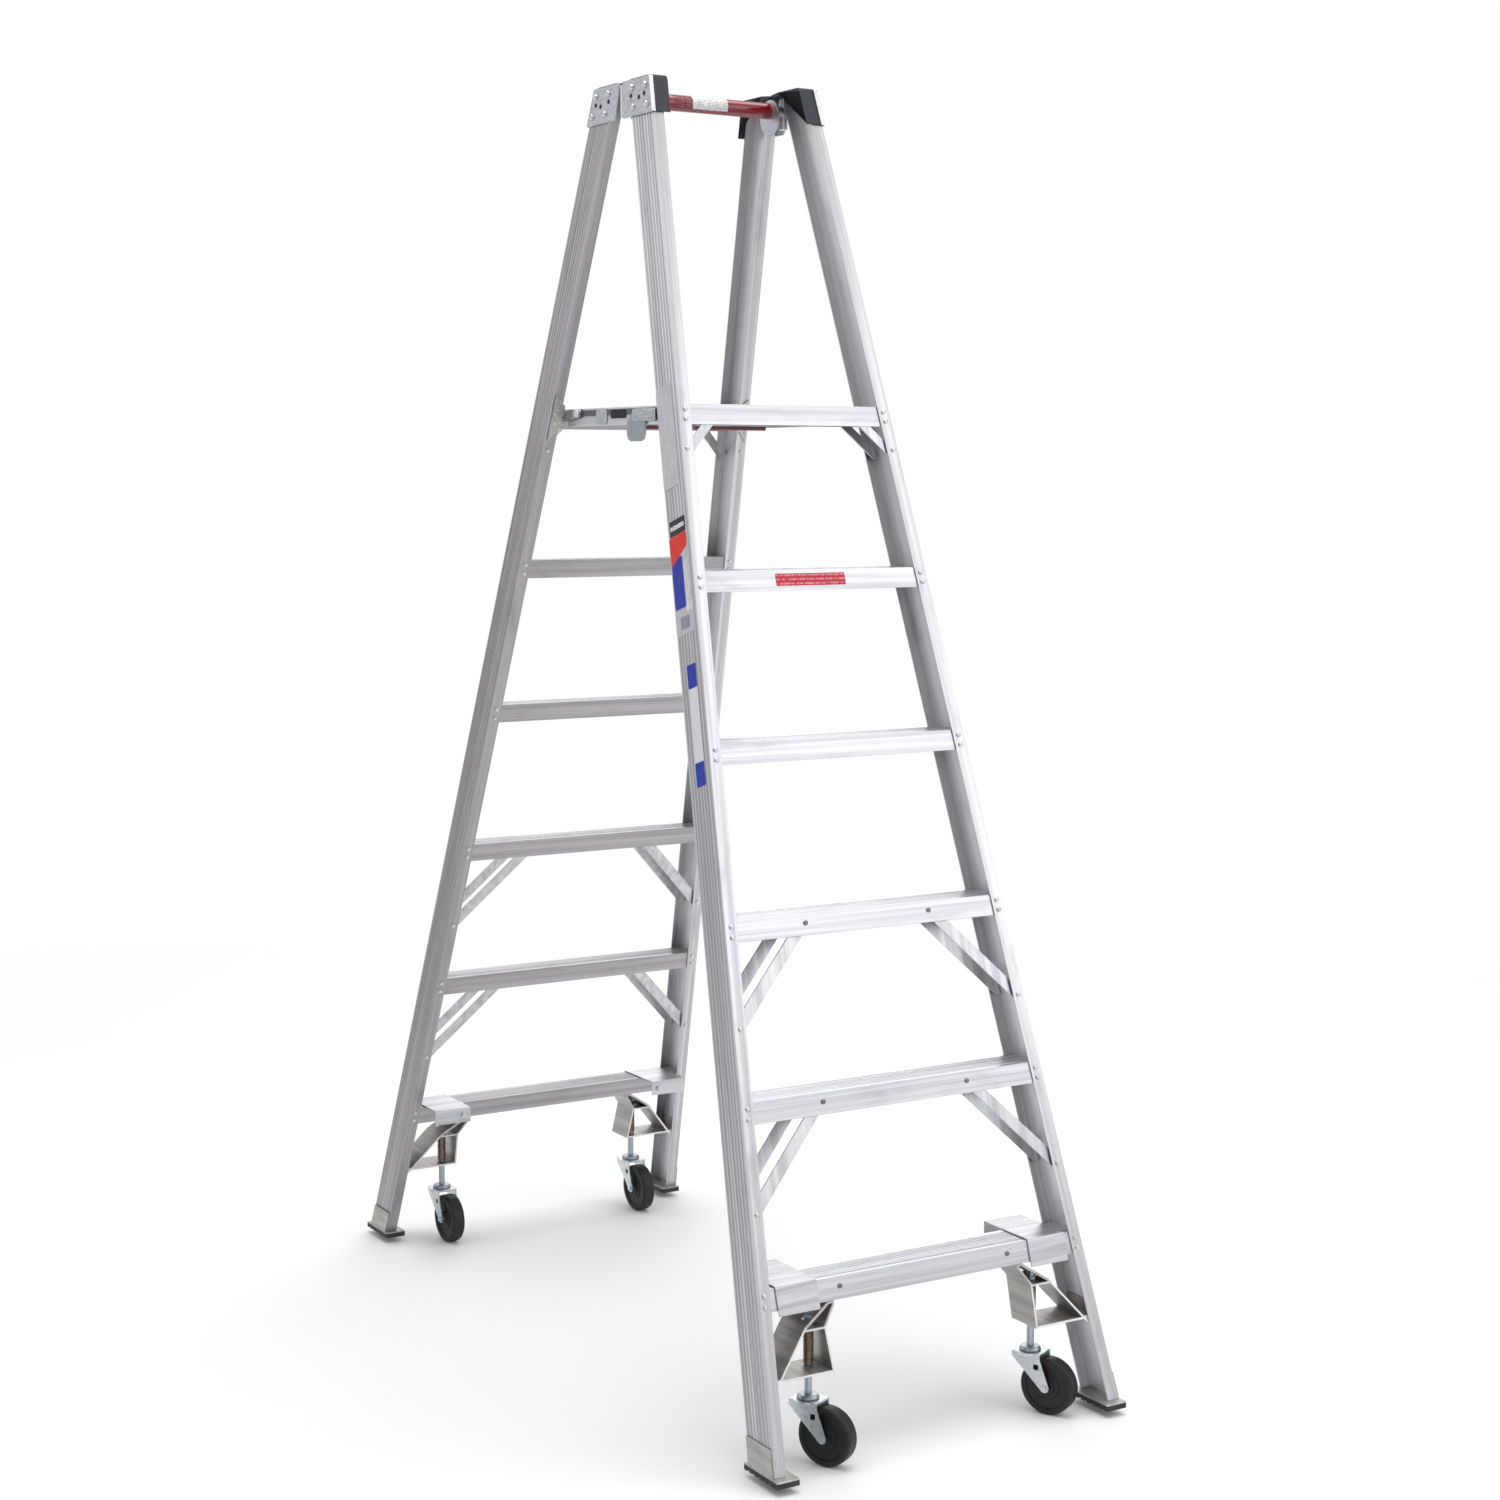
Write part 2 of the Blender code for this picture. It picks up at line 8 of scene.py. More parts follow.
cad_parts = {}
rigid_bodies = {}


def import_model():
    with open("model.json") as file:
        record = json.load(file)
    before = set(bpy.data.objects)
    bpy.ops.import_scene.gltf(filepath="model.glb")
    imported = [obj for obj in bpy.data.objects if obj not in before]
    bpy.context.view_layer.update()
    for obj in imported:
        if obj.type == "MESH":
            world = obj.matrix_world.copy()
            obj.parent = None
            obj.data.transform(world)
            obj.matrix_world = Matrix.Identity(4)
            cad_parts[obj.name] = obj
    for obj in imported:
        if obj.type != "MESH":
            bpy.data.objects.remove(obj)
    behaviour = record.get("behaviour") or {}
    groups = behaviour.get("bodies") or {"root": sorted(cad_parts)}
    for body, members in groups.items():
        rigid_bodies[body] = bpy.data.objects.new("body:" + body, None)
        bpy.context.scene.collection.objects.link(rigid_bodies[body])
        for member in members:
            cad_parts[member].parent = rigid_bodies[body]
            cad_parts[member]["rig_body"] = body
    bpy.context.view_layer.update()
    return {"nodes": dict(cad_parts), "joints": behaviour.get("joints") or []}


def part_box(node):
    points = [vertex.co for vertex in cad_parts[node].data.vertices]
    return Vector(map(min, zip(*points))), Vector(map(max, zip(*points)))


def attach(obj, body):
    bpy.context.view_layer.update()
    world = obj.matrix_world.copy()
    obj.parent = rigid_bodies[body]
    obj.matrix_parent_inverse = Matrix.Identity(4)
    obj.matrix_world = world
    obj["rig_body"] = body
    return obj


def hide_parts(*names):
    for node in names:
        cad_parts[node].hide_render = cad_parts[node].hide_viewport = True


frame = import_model()
print("model loaded:", len(frame["nodes"]), "nodes")

sides = {"left": -1, "right": 1}
ends = {"front": -1, "rear": 1}
corners = [(endName + "_" + sideName, side, end)
           for endName, end in ends.items() for sideName, side in sides.items()]

jointsByName = {joint["name"]: joint for joint in frame["joints"]}

# The rails' lines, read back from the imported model
railShape = {"depth": 0.0775, "flangeWidth": 0.0233, "flutePitch": 0.010333, "fluteShare": 0.6,
             "fluteStart": 0.45}
railLow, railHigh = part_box("front_right_rail")
railRise = railHigh.z - railLow.z
leanBack = (-railLow.y - (-railHigh.y + railShape["depth"])) / railRise
flareIn = (railHigh.x - (railLow.x + railShape["flangeWidth"])) / railRise
stepTops = [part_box("front_step_%d" % level)[1].z for level in range(1, 6)]
stepTops.append(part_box("front_platform_bar")[1].z)
skirt = {"height": 0.036, "behindRail": 0.0029}  # of every tread


def outerX(z):
    return railHigh.x - flareIn * (z - railLow.z)


def outerY(z):
    return -railLow.y - leanBack * (z - railLow.z)


def frameOf(end):
    return "front_frame" if end < 0 else "rear_frame"


# Materials


class Wire:
    # One output of a node. Arithmetic on it adds Math nodes.
    def __init__(self, finish, socket):
        self.finish = finish
        self.socket = socket

    def mathNode(self, operation, first, second, clamp=False):
        settings = {"operation": operation, "use_clamp": clamp}
        return self.finish.node("ShaderNodeMath", settings, {0: first, 1: second})

    def __add__(self, other):
        return self.mathNode("ADD", self, other)

    def __radd__(self, other):
        return self.mathNode("ADD", other, self)

    def __sub__(self, other):
        return self.mathNode("SUBTRACT", self, other)

    def __rsub__(self, other):
        return self.mathNode("SUBTRACT", other, self)

    def __mul__(self, other):
        return self.mathNode("MULTIPLY", self, other)

    def __rmul__(self, other):
        return self.mathNode("MULTIPLY", other, self)

    def clipped(self):
        return self.mathNode("ADD", self, 0.0, True)

    def between(self, low, high):
        settings = {"interpolation_type": "SMOOTHSTEP"}
        return self.finish.node("ShaderNodeMapRange", settings,
                                {"Value": self, "From Min": low, "From Max": high})


class Finish:
    # One material: node() adds any node, feed() runs a wire into the shader.
    def __init__(self, name, **values):
        self.material = bpy.data.materials.new(name)
        self.material.use_nodes = True
        self.tree = self.material.node_tree
        self.shader = self.tree.nodes["Principled BSDF"]
        for label, value in values.items():
            self.shader.inputs[label.replace("_", " ")].default_value = value

    def node(self, kind, settings, sockets, out=0):
        made = self.tree.nodes.new(kind)
        for label, value in settings.items():
            setattr(made, label, value)
        for label, value in sockets.items():
            if isinstance(value, Wire):
                self.tree.links.new(value.socket, made.inputs[label])
            else:
                made.inputs[label].default_value = value
        return Wire(self, made.outputs[out])

    def place(self, scale=(1, 1, 1), turn=(0, 0, 0), shift=(0, 0, 0)):
        spot = self.node("ShaderNodeTexCoord", {}, {}, "Object")
        return self.node("ShaderNodeMapping", {"vector_type": "TEXTURE"},
                         {"Vector": spot, "Location": shift, "Rotation": turn, "Scale": scale})

    def noise(self, place, scale, detail=3.0, rough=0.55):
        return self.node("ShaderNodeTexNoise", {},
                         {"Vector": place, "Scale": scale, "Detail": detail, "Roughness": rough})

    def cells(self, place, scale):
        return self.node("ShaderNodeTexVoronoi", {}, {"Vector": place, "Scale": scale}, "Color")

    def axis(self, name):
        return self.node("ShaderNodeSeparateXYZ", {}, {0: self.place()}, name)

    def mixColor(self, share, first, second):
        made = self.tree.nodes.new("ShaderNodeMix")
        made.data_type = "RGBA"
        for label, value in (("Factor_Float", share), ("A_Color", first), ("B_Color", second)):
            socket = next(item for item in made.inputs if item.identifier == label)
            if isinstance(value, Wire):
                self.tree.links.new(value.socket, socket)
            else:
                socket.default_value = value if label == "Factor_Float" else (*value, 1.0)
        return Wire(self, next(item for item in made.outputs if item.identifier == "Result_Color"))

    def feed(self, label, wire):
        self.tree.links.new(wire.socket, self.shader.inputs[label])

    def bump(self, height, distance):
        self.feed("Normal", self.node("ShaderNodeBump", {},
                                      {"Height": height, "Distance": distance, "Strength": 1.0}))


aluminiumTones = {"bright": (0.66, 0.66, 0.69), "dull": (0.45, 0.45, 0.48), "smudge_and_shade": (0.34, 0.33, 0.34)}
# painted shade: a darker copy of the aluminium tones, for the rear left rail and the rear treads, standing
# for the dimmer light on the rear frame
rearShadedTones = {"bright": (0.46, 0.45, 0.465), "dull": (0.32, 0.315, 0.325), "smudge_and_shade": (0.24, 0.23, 0.235)}
# the bracket's cut colour is a painted highlight on its front- and back-facing faces
bracketTonesAndCutHighlight = {"bright": (0.50, 0.49, 0.475), "dull": (0.35, 0.345, 0.335),
                "smudge_and_shade": (0.22, 0.21, 0.185), "cut": (0.86, 0.86, 0.87)}
shoeTones = {"bright": (0.50, 0.50, 0.49), "dull": (0.37, 0.37, 0.36), "smudge_and_shade": (0.22, 0.22, 0.18)}
# painted light: paler, less metallic skin on the rail's inner web, and how far it reaches
innerWebPaintedLight = {"mix": 0.8, "tone": (0.74, 0.735, 0.745), "matt": 0.36, "depth": (0.0014, 0.0020)}
# painted shade in the rail's flutes: how dark, and where it starts and stops across each flute
fluteShade = {"amount": 0.55, "start": (0.02, 0.10), "stop": (-0.05, 0.03)}
# painted highlight on faces turned front or back: how squarely they must face, the height above which it is
# dimmed as painted shade, and by how much
cutFaceHighlight = {"facing": (0.80, 0.95), "height": (0.226, 0.238), "fade": 0.85}


def aluminium(name, along, tones=aluminiumTones, shine=(0.30, 0.46), smudges=0.55, lines=0.00004,
              corner=None):
    # Extruded aluminium: die lines along its length, blotchy handling marks and specks
    turn = Vector(along).to_track_quat("Z", "Y").to_euler()
    made = Finish(name, Metallic=1.0)
    drawn = made.place((0.0016, 0.0016, 0.35), turn)
    dieLines = made.noise(drawn, 1.0, 4.0, 0.6)
    broad = made.noise(made.place((0.012, 0.012, 0.9), turn), 1.0, 2.0, 0.5)
    cloudy = made.noise(made.place((0.05, 0.05, 0.16), turn), 1.0, 4.0, 0.62)
    specks = made.noise(made.place((0.006, 0.006, 0.012), turn, (3, 1, 2)), 1.0, 2.0, 0.5)
    tone = (dieLines * 0.45 + broad * 0.55).between(0.36, 0.64)
    soil = cloudy.between(0.52, 0.80) * smudges + specks.between(0.66, 0.82) * 0.25
    skin = made.mixColor(tone, tones["dull"], tones["bright"])
    if corner:  # painted light: the web inside the channel is given a plain, paler and less metallic skin, so that it reads brighter
        side, end = corner
        inward = outerY(0) - made.axis("Z") * leanBack - made.axis("Y") * end
        behind = outerX(0) - made.axis("Z") * flareIn - made.axis("X") * side
        farFlange = railShape["depth"] - 0.004
        onWeb = inward.between(0.002, 0.004) * (1 - inward.between(farFlange, farFlange + 0.002))
        inner = behind.between(*innerWebPaintedLight["depth"]) * onWeb
        skin = made.mixColor(inner * innerWebPaintedLight["mix"], skin, innerWebPaintedLight["tone"])
        made.feed("Metallic", 1 - inner * innerWebPaintedLight["matt"])
    base = made.mixColor(soil.clipped(), skin, tones["smudge_and_shade"])
    if corner:  # painted shade: the rail's flutes are darkened in the smudge colour
        phase = made.node("ShaderNodeMath", {"operation": "FRACT"},
                          {0: inward * (1 / railShape["flutePitch"]) - railShape["fluteStart"] + 4})
        stop = [railShape["fluteShare"] + shift for shift in fluteShade["stop"]]
        fluteShadeMask = phase.between(*fluteShade["start"]) * (1 - phase.between(*stop))
        base = made.mixColor(fluteShadeMask * onWeb * (1 - inner) * fluteShade["amount"], base, tones["smudge_and_shade"])
    if "cut" in tones:  # painted highlight: faces turned to the front or back get a pale colour, dimmed as painted shade near the top, where the step above shades them
        normal = made.node("ShaderNodeTexCoord", {}, {}, "Normal")
        toward = made.node("ShaderNodeSeparateXYZ", {}, {0: normal}, "Y")
        low = 1 - made.axis("Z").between(*cutFaceHighlight["height"]) * cutFaceHighlight["fade"]
        cutHighlightMask = (toward * toward).between(*cutFaceHighlight["facing"]) * low
        base = made.mixColor(cutHighlightMask, base, tones["cut"])
    made.feed("Base Color", base)
    made.feed("Roughness", shine[0] + dieLines * (shine[1] - shine[0]) + soil * 0.10)
    made.bump(dieLines + specks * 0.3, lines)
    return made.material


def sheetSteel(name, tint=(0.50, 0.51, 0.545), grain=900.0, shine=0.34):
    # Zinc-plated sheet: small crystal flakes that catch the light, and a few dull stains
    made = Finish(name, Metallic=1.0)
    spot = made.place()
    flakes = made.node("ShaderNodeSeparateColor", {}, {"Color": made.cells(spot, grain)})
    grit = made.noise(spot, grain * 0.7, 3.0, 0.7)
    stain = made.noise(spot, 45.0, 4.0, 0.6).between(0.50, 0.75)
    dark = tuple(part * 0.62 for part in tint)
    light = tuple(min(1.0, part * 1.32) for part in tint)
    base = made.mixColor((flakes * 0.6 + grit * 0.5).between(0.25, 0.85), dark, light)
    made.feed("Base Color", made.mixColor(stain * 0.45, base, (0.36, 0.35, 0.33)))
    made.feed("Roughness", shine + grit * 0.22)
    made.bump(grit + flakes * 0.5, 0.00012)
    return made.material


def mouldedPlastic(name, color, shine=0.42):
    made = Finish(name)
    spot = made.place()
    grain = made.noise(spot, 1800.0, 2.0, 0.6)
    wear = made.noise(spot, 60.0, 4.0, 0.65).between(0.52, 0.74)
    scuffed = tuple(part * 1.9 + 0.02 for part in color)
    made.feed("Base Color", made.mixColor(wear * 0.5, color, scuffed))
    made.feed("Roughness", shine + wear * 0.18 + grain * 0.05)
    made.bump(grain, 0.00006)
    return made.material


def glossCoat(name, color, shine=0.16):
    # Dipped coating over a tube: glossy, slightly wavy, with a few pale scuffs
    made = Finish(name, Coat_Weight=0.5, Coat_Roughness=0.08)
    spot = made.place()
    wave = made.noise(spot, 160.0, 2.0, 0.5)
    scuff = made.noise(made.place((0.030, 0.004, 0.004)), 1.0, 4.0, 0.7).between(0.63, 0.74)
    deep = tuple(part * 0.62 for part in color)
    base = made.mixColor(wave.between(0.35, 0.65), color, deep)
    made.feed("Base Color", made.mixColor(scuff * 0.5, base, (0.62, 0.32, 0.32)))
    made.feed("Roughness", shine + scuff * 0.3)
    made.bump(wave, 0.0002)
    return made.material


def blackRubber(name, color, shine, dust):
    made = Finish(name)
    spot = made.place()
    grain = made.noise(spot, 1500.0, 3.0, 0.65)
    patches = made.noise(spot, 55.0, 4.0, 0.62).between(0.48, 0.75)
    made.feed("Base Color", made.mixColor(patches * dust, color, (0.085, 0.08, 0.075)))
    made.feed("Roughness", shine + patches * 0.22)
    made.bump(grain, 0.00008)
    return made.material


def springSteel(name):
    made = Finish(name, Metallic=1.0)
    stain = made.noise(made.place(), 140.0, 4.0, 0.6).between(0.40, 0.66)
    made.feed("Base Color", made.mixColor(stain, (0.46, 0.36, 0.27), (0.30, 0.19, 0.13)))
    made.feed("Roughness", 0.34 + stain * 0.2)
    return made.material


def printedFilm(name, color, ink=None, pitch=0.004, amount=0.5):
    # Thin printed film. Plain rows of ink stand in for small print.
    made = Finish(name, Roughness=0.42, Specular_IOR_Level=0.25)
    faded = made.noise(made.place(), 70.0, 4.0, 0.6).between(0.35, 0.75)
    pale = tuple(part * 0.8 + 0.12 for part in color)
    base = made.mixColor(faded * 0.2, color, pale)
    if ink:
        rows = made.node("ShaderNodeTexWave", {"bands_direction": "Z", "wave_profile": "SIN"},
                         {"Vector": made.place((pitch * 3.1, pitch * 3.1, pitch * 3.1)), "Scale": 1.0})
        gaps = made.noise(made.place((0.0022, 0.0022, 0.05), shift=(1, 2, 3)), 1.0, 1.0, 0.4)
        base = made.mixColor(rows.between(0.55, 0.7) * gaps.between(0.42, 0.5) * amount, base, ink)
    made.feed("Base Color", base)
    return made.material


# painted shade: the rear left rail takes the darker rear copy of the tones
railFinishes = {name: aluminium(name + "_rail_aluminium", (-side * flareIn, -end * leanBack, 1.0),
                                rearShadedTones if name == "rear_left" else aluminiumTones, corner=(side, end))
                for name, side, end in corners}
finishes = {
    "front_tread": aluminium("front_tread_aluminium", (1, 0, 0), shine=(0.28, 0.44), smudges=0.5),
    # painted shade: the rear treads take the darker rear copy of the tones
    "rear_tread": aluminium("rear_tread_shaded_aluminium", (1, 0, 0), rearShadedTones, (0.30, 0.46), 0.5),
    "deck": aluminium("deck_aluminium", (0, 1, 0), smudges=0.4),
    "cover": aluminium("cover_aluminium", (1, 0, 0.05), shine=(0.34, 0.5), smudges=0.35, lines=0.00002),
    "bracket": aluminium("bracket_aluminium", (0, 1, 0), bracketTonesAndCutHighlight, (0.40, 0.58), 0.7, 0.00012),
    "brace": aluminium("brace_aluminium", (0, 0.3, 1), shine=(0.32, 0.48), smudges=0.4),
    "shoe": aluminium("shoe_aluminium", (0.2, 1, 0), shoeTones, (0.40, 0.56), 0.6, 0.0001),
    "plate": sheetSteel("plate_steel"),
    "zinc": sheetSteel("zinc_steel", (0.64, 0.69, 0.72), 1300.0, 0.26),
    "rivet": sheetSteel("rivet_steel", (0.68, 0.68, 0.71), 2500.0, 0.22),
    # painted highlight: brighter steel for the plate lips and the rolled hinge edges
    "seam": sheetSteel("seam_highlight_steel", (0.80, 0.79, 0.82), 1800.0, 0.30),
    "rod": sheetSteel("rod_steel", (0.40, 0.45, 0.50), 1600.0, 0.22),
    "gusset": sheetSteel("gusset_steel", (0.50, 0.51, 0.475), 1000.0, 0.40),
    "screw": sheetSteel("screw_steel", (0.22, 0.22, 0.24), 1600.0, 0.35),
    "latch": sheetSteel("latch_steel", (0.34, 0.40, 0.42), 1100.0, 0.34),
    "spring": springSteel("spring_steel"),
    "cap": mouldedPlastic("cap_plastic", (0.017, 0.017, 0.028), 0.5),
    "red": glossCoat("red_coat", (0.25, 0.004, 0.014)),
    "bar": glossCoat("bar_coat", (0.16, 0.010, 0.014), 0.3),
    "tyre": blackRubber("tyre_rubber", (0.0035, 0.0035, 0.0045), 0.50, 0.05),
    "pad": blackRubber("pad_rubber", (0.014, 0.014, 0.018), 0.55, 0.5),
    "whiteFilm": printedFilm("white_film", (0.78, 0.77, 0.78), (0.10, 0.10, 0.11), 0.0030, amount=0.8),
    "darkFilm": printedFilm("dark_film", (0.13, 0.008, 0.014), (0.45, 0.22, 0.24), 0.0035, amount=0.9),
    "grayFilm": printedFilm("gray_film", (0.56, 0.555, 0.60), (0.22, 0.22, 0.25), 0.0035, amount=0.5),
    "baseFilm": printedFilm("base_film", (0.52, 0.52, 0.55), (0.30, 0.30, 0.32), 0.0030, amount=0.3),
    "whitePlain": printedFilm("white_plain_film", (0.70, 0.70, 0.73)),
    "inkFilm": printedFilm("ink_film", (0.012, 0.012, 0.015)),
    "redFilm": printedFilm("red_film", (0.70, 0.020, 0.012)),
    "stripFilm": printedFilm("strip_film", (0.52, 0.022, 0.050), (0.75, 0.45, 0.48), 0.0075, amount=0.6),
    "blueFilm": printedFilm("blue_film", (0.002, 0.020, 0.36)),
    "codeFilm": printedFilm("code_film", (0.30, 0.30, 0.36), (0.10, 0.10, 0.12), 0.0012, amount=0.6),
    "bandShade": mouldedPlastic("band_shadow", (0.10, 0.095, 0.11), 0.5),
    "hole": mouldedPlastic("hole_shadow", (0.015, 0.015, 0.016), 0.8),
}
print("materials made:", len(bpy.data.materials))


# Modelling helpers


def deselectAll():
    if bpy.context.object and bpy.context.object.mode != "OBJECT":
        bpy.ops.object.mode_set(mode="OBJECT")
    bpy.ops.object.select_all(action="DESELECT")


def pick(piece):
    deselectAll()
    piece.select_set(True)
    bpy.context.view_layer.objects.active = piece


def editFaces(piece, test):
    # Opens the piece in edit mode with the faces that pass the test selected
    pick(piece)
    bpy.ops.object.mode_set(mode="EDIT")
    bpy.ops.mesh.select_mode(type="FACE")
    bpy.ops.mesh.select_all(action="DESELECT")
    bpy.ops.object.mode_set(mode="OBJECT")
    for face in piece.data.polygons:
        face.select = bool(test(face))
    bpy.ops.object.mode_set(mode="EDIT")


def editEdges(piece, test):
    pick(piece)
    bpy.ops.object.mode_set(mode="EDIT")
    bpy.ops.mesh.select_mode(type="EDGE")
    bpy.ops.mesh.select_all(action="DESELECT")
    bpy.ops.object.mode_set(mode="OBJECT")
    points = piece.data.vertices
    for edge in piece.data.edges:
        edge.select = bool(test(points[edge.vertices[0]].co, points[edge.vertices[1]].co))
    bpy.ops.object.mode_set(mode="EDIT")


def applyModifier(piece, kind, **settings):
    pick(piece)
    change = piece.modifiers.new(kind.lower(), kind)
    for label, value in settings.items():
        setattr(change, label, value)
    bpy.ops.object.modifier_apply(modifier=change.name)


def finish(piece, name, material, body, slot, angle=35, flatFaces=False):
    # Bakes the piece's place into its mesh, paints it and lets it ride on its body
    pick(piece)
    bpy.ops.object.transform_apply(location=True, rotation=True, scale=True)
    piece.name = name
    piece.data.name = name
    piece.data.materials.clear()
    piece.data.materials.append(material)
    bpy.ops.object.shade_smooth_by_angle(angle=math.radians(angle))
    if flatFaces:  # only the eased edges bend the light
        applyModifier(piece, "WEIGHTED_NORMAL", weight=90, keep_sharp=True)
    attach(piece, body)
    return piece


def plainSheet(size):
    # Flat sheet lying in X and Y, to be cut, rounded and thickened
    bpy.ops.mesh.primitive_plane_add(size=1)
    sheet = bpy.context.object
    sheet.scale = (*size, 1)
    pick(sheet)
    bpy.ops.object.transform_apply(scale=True)
    return sheet


def standingDisc(sideCount, radius, height, foot=0.0):
    bpy.ops.mesh.primitive_cylinder_add(vertices=sideCount, radius=radius, depth=height,
                                        location=(0, 0, foot + height / 2))
    disc = bpy.context.object
    pick(disc)
    bpy.ops.object.transform_apply(location=True)
    return disc


def easedEdges(piece, width, angle=30, segments=2):
    applyModifier(piece, "BEVEL", width=width, segments=segments, limit_method="ANGLE",
                  angle_limit=math.radians(angle), use_clamp_overlap=True)


def joined(pieces):
    deselectAll()
    for piece in pieces:
        piece.select_set(True)
    bpy.context.view_layer.objects.active = pieces[0]
    bpy.ops.object.join()
    return bpy.context.object


def copyAt(piece, place):
    made = piece.copy()
    made.data = piece.data.copy()
    bpy.context.scene.collection.objects.link(made)
    made.data.transform(place)
    return made


def facing(point, outward, spin=0.0):
    # A place whose Z axis points outward
    turn = Vector(outward).to_track_quat("Z", "Y").to_matrix().to_4x4()
    return Matrix.Translation(point) @ turn @ Matrix.Rotation(spin, 4, "Z")


def looseCopy(node):
    # A plain copy of a CAD node, its faces made whole again
    piece = frame["nodes"][node].copy()
    piece.data = piece.data.copy()
    piece.parent = None
    bpy.context.scene.collection.objects.link(piece)
    piece.hide_render = piece.hide_viewport = False
    piece.hide_set(False)
    for label in list(piece.keys()):
        del piece[label]
    editFaces(piece, lambda face: True)
    bpy.ops.mesh.remove_doubles(threshold=0.00001)
    bpy.ops.mesh.dissolve_limited(angle_limit=math.radians(1))
    bpy.ops.object.mode_set(mode="OBJECT")
    return piece


def keptBelow(piece, point, normal):
    # Cuts the piece at a plane, keeps the side behind the normal and closes it
    editFaces(piece, lambda face: True)
    bpy.ops.mesh.bisect(plane_co=point, plane_no=normal, use_fill=True, clear_outer=True)
    bpy.ops.object.mode_set(mode="OBJECT")


def softened(node, material, slot, width, segments=2):
    # Stands for a CAD node with its edges eased
    piece = looseCopy(node)
    easedEdges(piece, width, segments=segments)
    finish(piece, node + "_eased", material, frame["nodes"][node]["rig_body"], slot, 40, True)
    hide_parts(node)


# Frames, treads and braces

edgeEase = {"rail": 0.0003, "tread": 0.0006, "cover": 0.0007, "brace": 0.0006, "bracket": 0.0007,
            "plate": 0.0004, "cap": 0.0016, "deck": 0.0005, "latch": 0.0006}
for name, side, end in corners:
    softened(name + "_rail", railFinishes[name], "aluminium", edgeEase["rail"])
    softened(name + "_step_cover", finishes["cover"], "aluminium", edgeEase["cover"])
    softened(name + "_caster_bracket", finishes["bracket"], "aluminium", edgeEase["bracket"], 1)
    softened(name + "_hinge_plate", finishes["plate"], "steel", edgeEase["plate"], 1)
    softened(name + "_cap", finishes["cap"], "plastic", edgeEase["cap"], 3)
    for level in (2, 3):
        softened(name + "_brace_%d" % level, finishes["brace"], "aluminium", edgeEase["brace"])
for endName in ends:
    treadFinish = finishes[endName + "_tread"]
    for level in range(1, 6):
        softened("%s_step_%d" % (endName, level), treadFinish, "aluminium", edgeEase["tread"])
    softened(endName + "_platform_bar", treadFinish, "aluminium", edgeEase["tread"])
softened("platform_deck", finishes["deck"], "aluminium", edgeEase["deck"], 1)
print("frames, treads and braces done")


# Rivets and screws

rivetShape = {"radius": 0.0042, "height": 0.0019, "sides": 12}
# how far below a tread's top each rivet is, and how far in from the rail's outer side
rivetSpots = {"tread": (0.0095, 0.0265), "brace": 0.1735, "smallBrace": 0.078,
              "inset": 0.0125, "smallInset": 0.0105}


def rivetHead(shape):
    head = standingDisc(shape["sides"], shape["radius"], shape["height"])
    editFaces(head, lambda face: face.normal.z > 0.9)
    bpy.ops.mesh.inset(thickness=shape["radius"] * 0.22, depth=shape["height"] * 0.42)
    bpy.ops.mesh.inset(thickness=shape["radius"] * 0.32, depth=shape["height"] * 0.24)
    bpy.ops.object.mode_set(mode="OBJECT")
    return head


def faceNormal(end, outward):
    # Direction a rail's outer flange faces, or its inner one
    tilt = leanBack if outward else -leanBack
    return Vector((0, end * (1 if outward else -1), tilt)).normalized()


def flangePoint(side, end, z, outward, inset=rivetSpots["inset"]):
    depth = 0 if outward else railShape["depth"]
    return Vector((side * (outerX(z) - inset), end * (outerY(z) - depth), z))


def rivetPlaces(side, end):
    # Each rivet is turned a little, so that their facets don't line up
    places = []
    for outward in (True, False):
        normal = faceNormal(end, outward)
        for top in stepTops:
            for drop in rivetSpots["tread"]:
                places.append(facing(flangePoint(side, end, top - drop, outward), normal, drop * 900))
        for level in (2, 3):
            z = stepTops[level - 1] - rivetSpots["brace"]
            places.append(facing(flangePoint(side, end, z, outward), normal, level))
        z = stepTops[5] - rivetSpots["smallBrace"]
        places.append(facing(flangePoint(side, end, z, outward, rivetSpots["smallInset"]), normal, 0.4))
    return places


head = rivetHead(rivetShape)
for name, side, end in corners:
    copies = [copyAt(head, place) for place in rivetPlaces(side, end)]
    finish(joined(copies), name + "_rivets", finishes["rivet"], frameOf(end), "steel", 50)
bpy.data.objects.remove(head)

screwShape = {"radius": 0.0042, "height": 0.0016, "sides": 14, "socketRim": 0.0004, "socketDepth": 0.0007,
              "drop": 0.0155}
screwPlaces = {1: 0.173, 2: 0.149, 3: 0.128}  # tread, and distance from its middle
screw = rivetHead(screwShape)
editFaces(screw, lambda face: face.normal.z > 0.9 and face.center.z > screwShape["height"] * 0.9)
bpy.ops.mesh.inset(thickness=screwShape["socketRim"], depth=-screwShape["socketDepth"])
bpy.ops.object.mode_set(mode="OBJECT")
for endName, end in ends.items():
    copies = []
    for level, across in screwPlaces.items():
        z = stepTops[level - 1] - screwShape["drop"]
        for side in sides.values():
            point = Vector((side * across, end * (outerY(z) - skirt["behindRail"]), z))
            copies.append(copyAt(screw, facing(point, faceNormal(end, True))))
    finish(joined(copies), endName + "_tread_screws", finishes["screw"], frameOf(end), "zinc", 50)
bpy.data.objects.remove(screw)

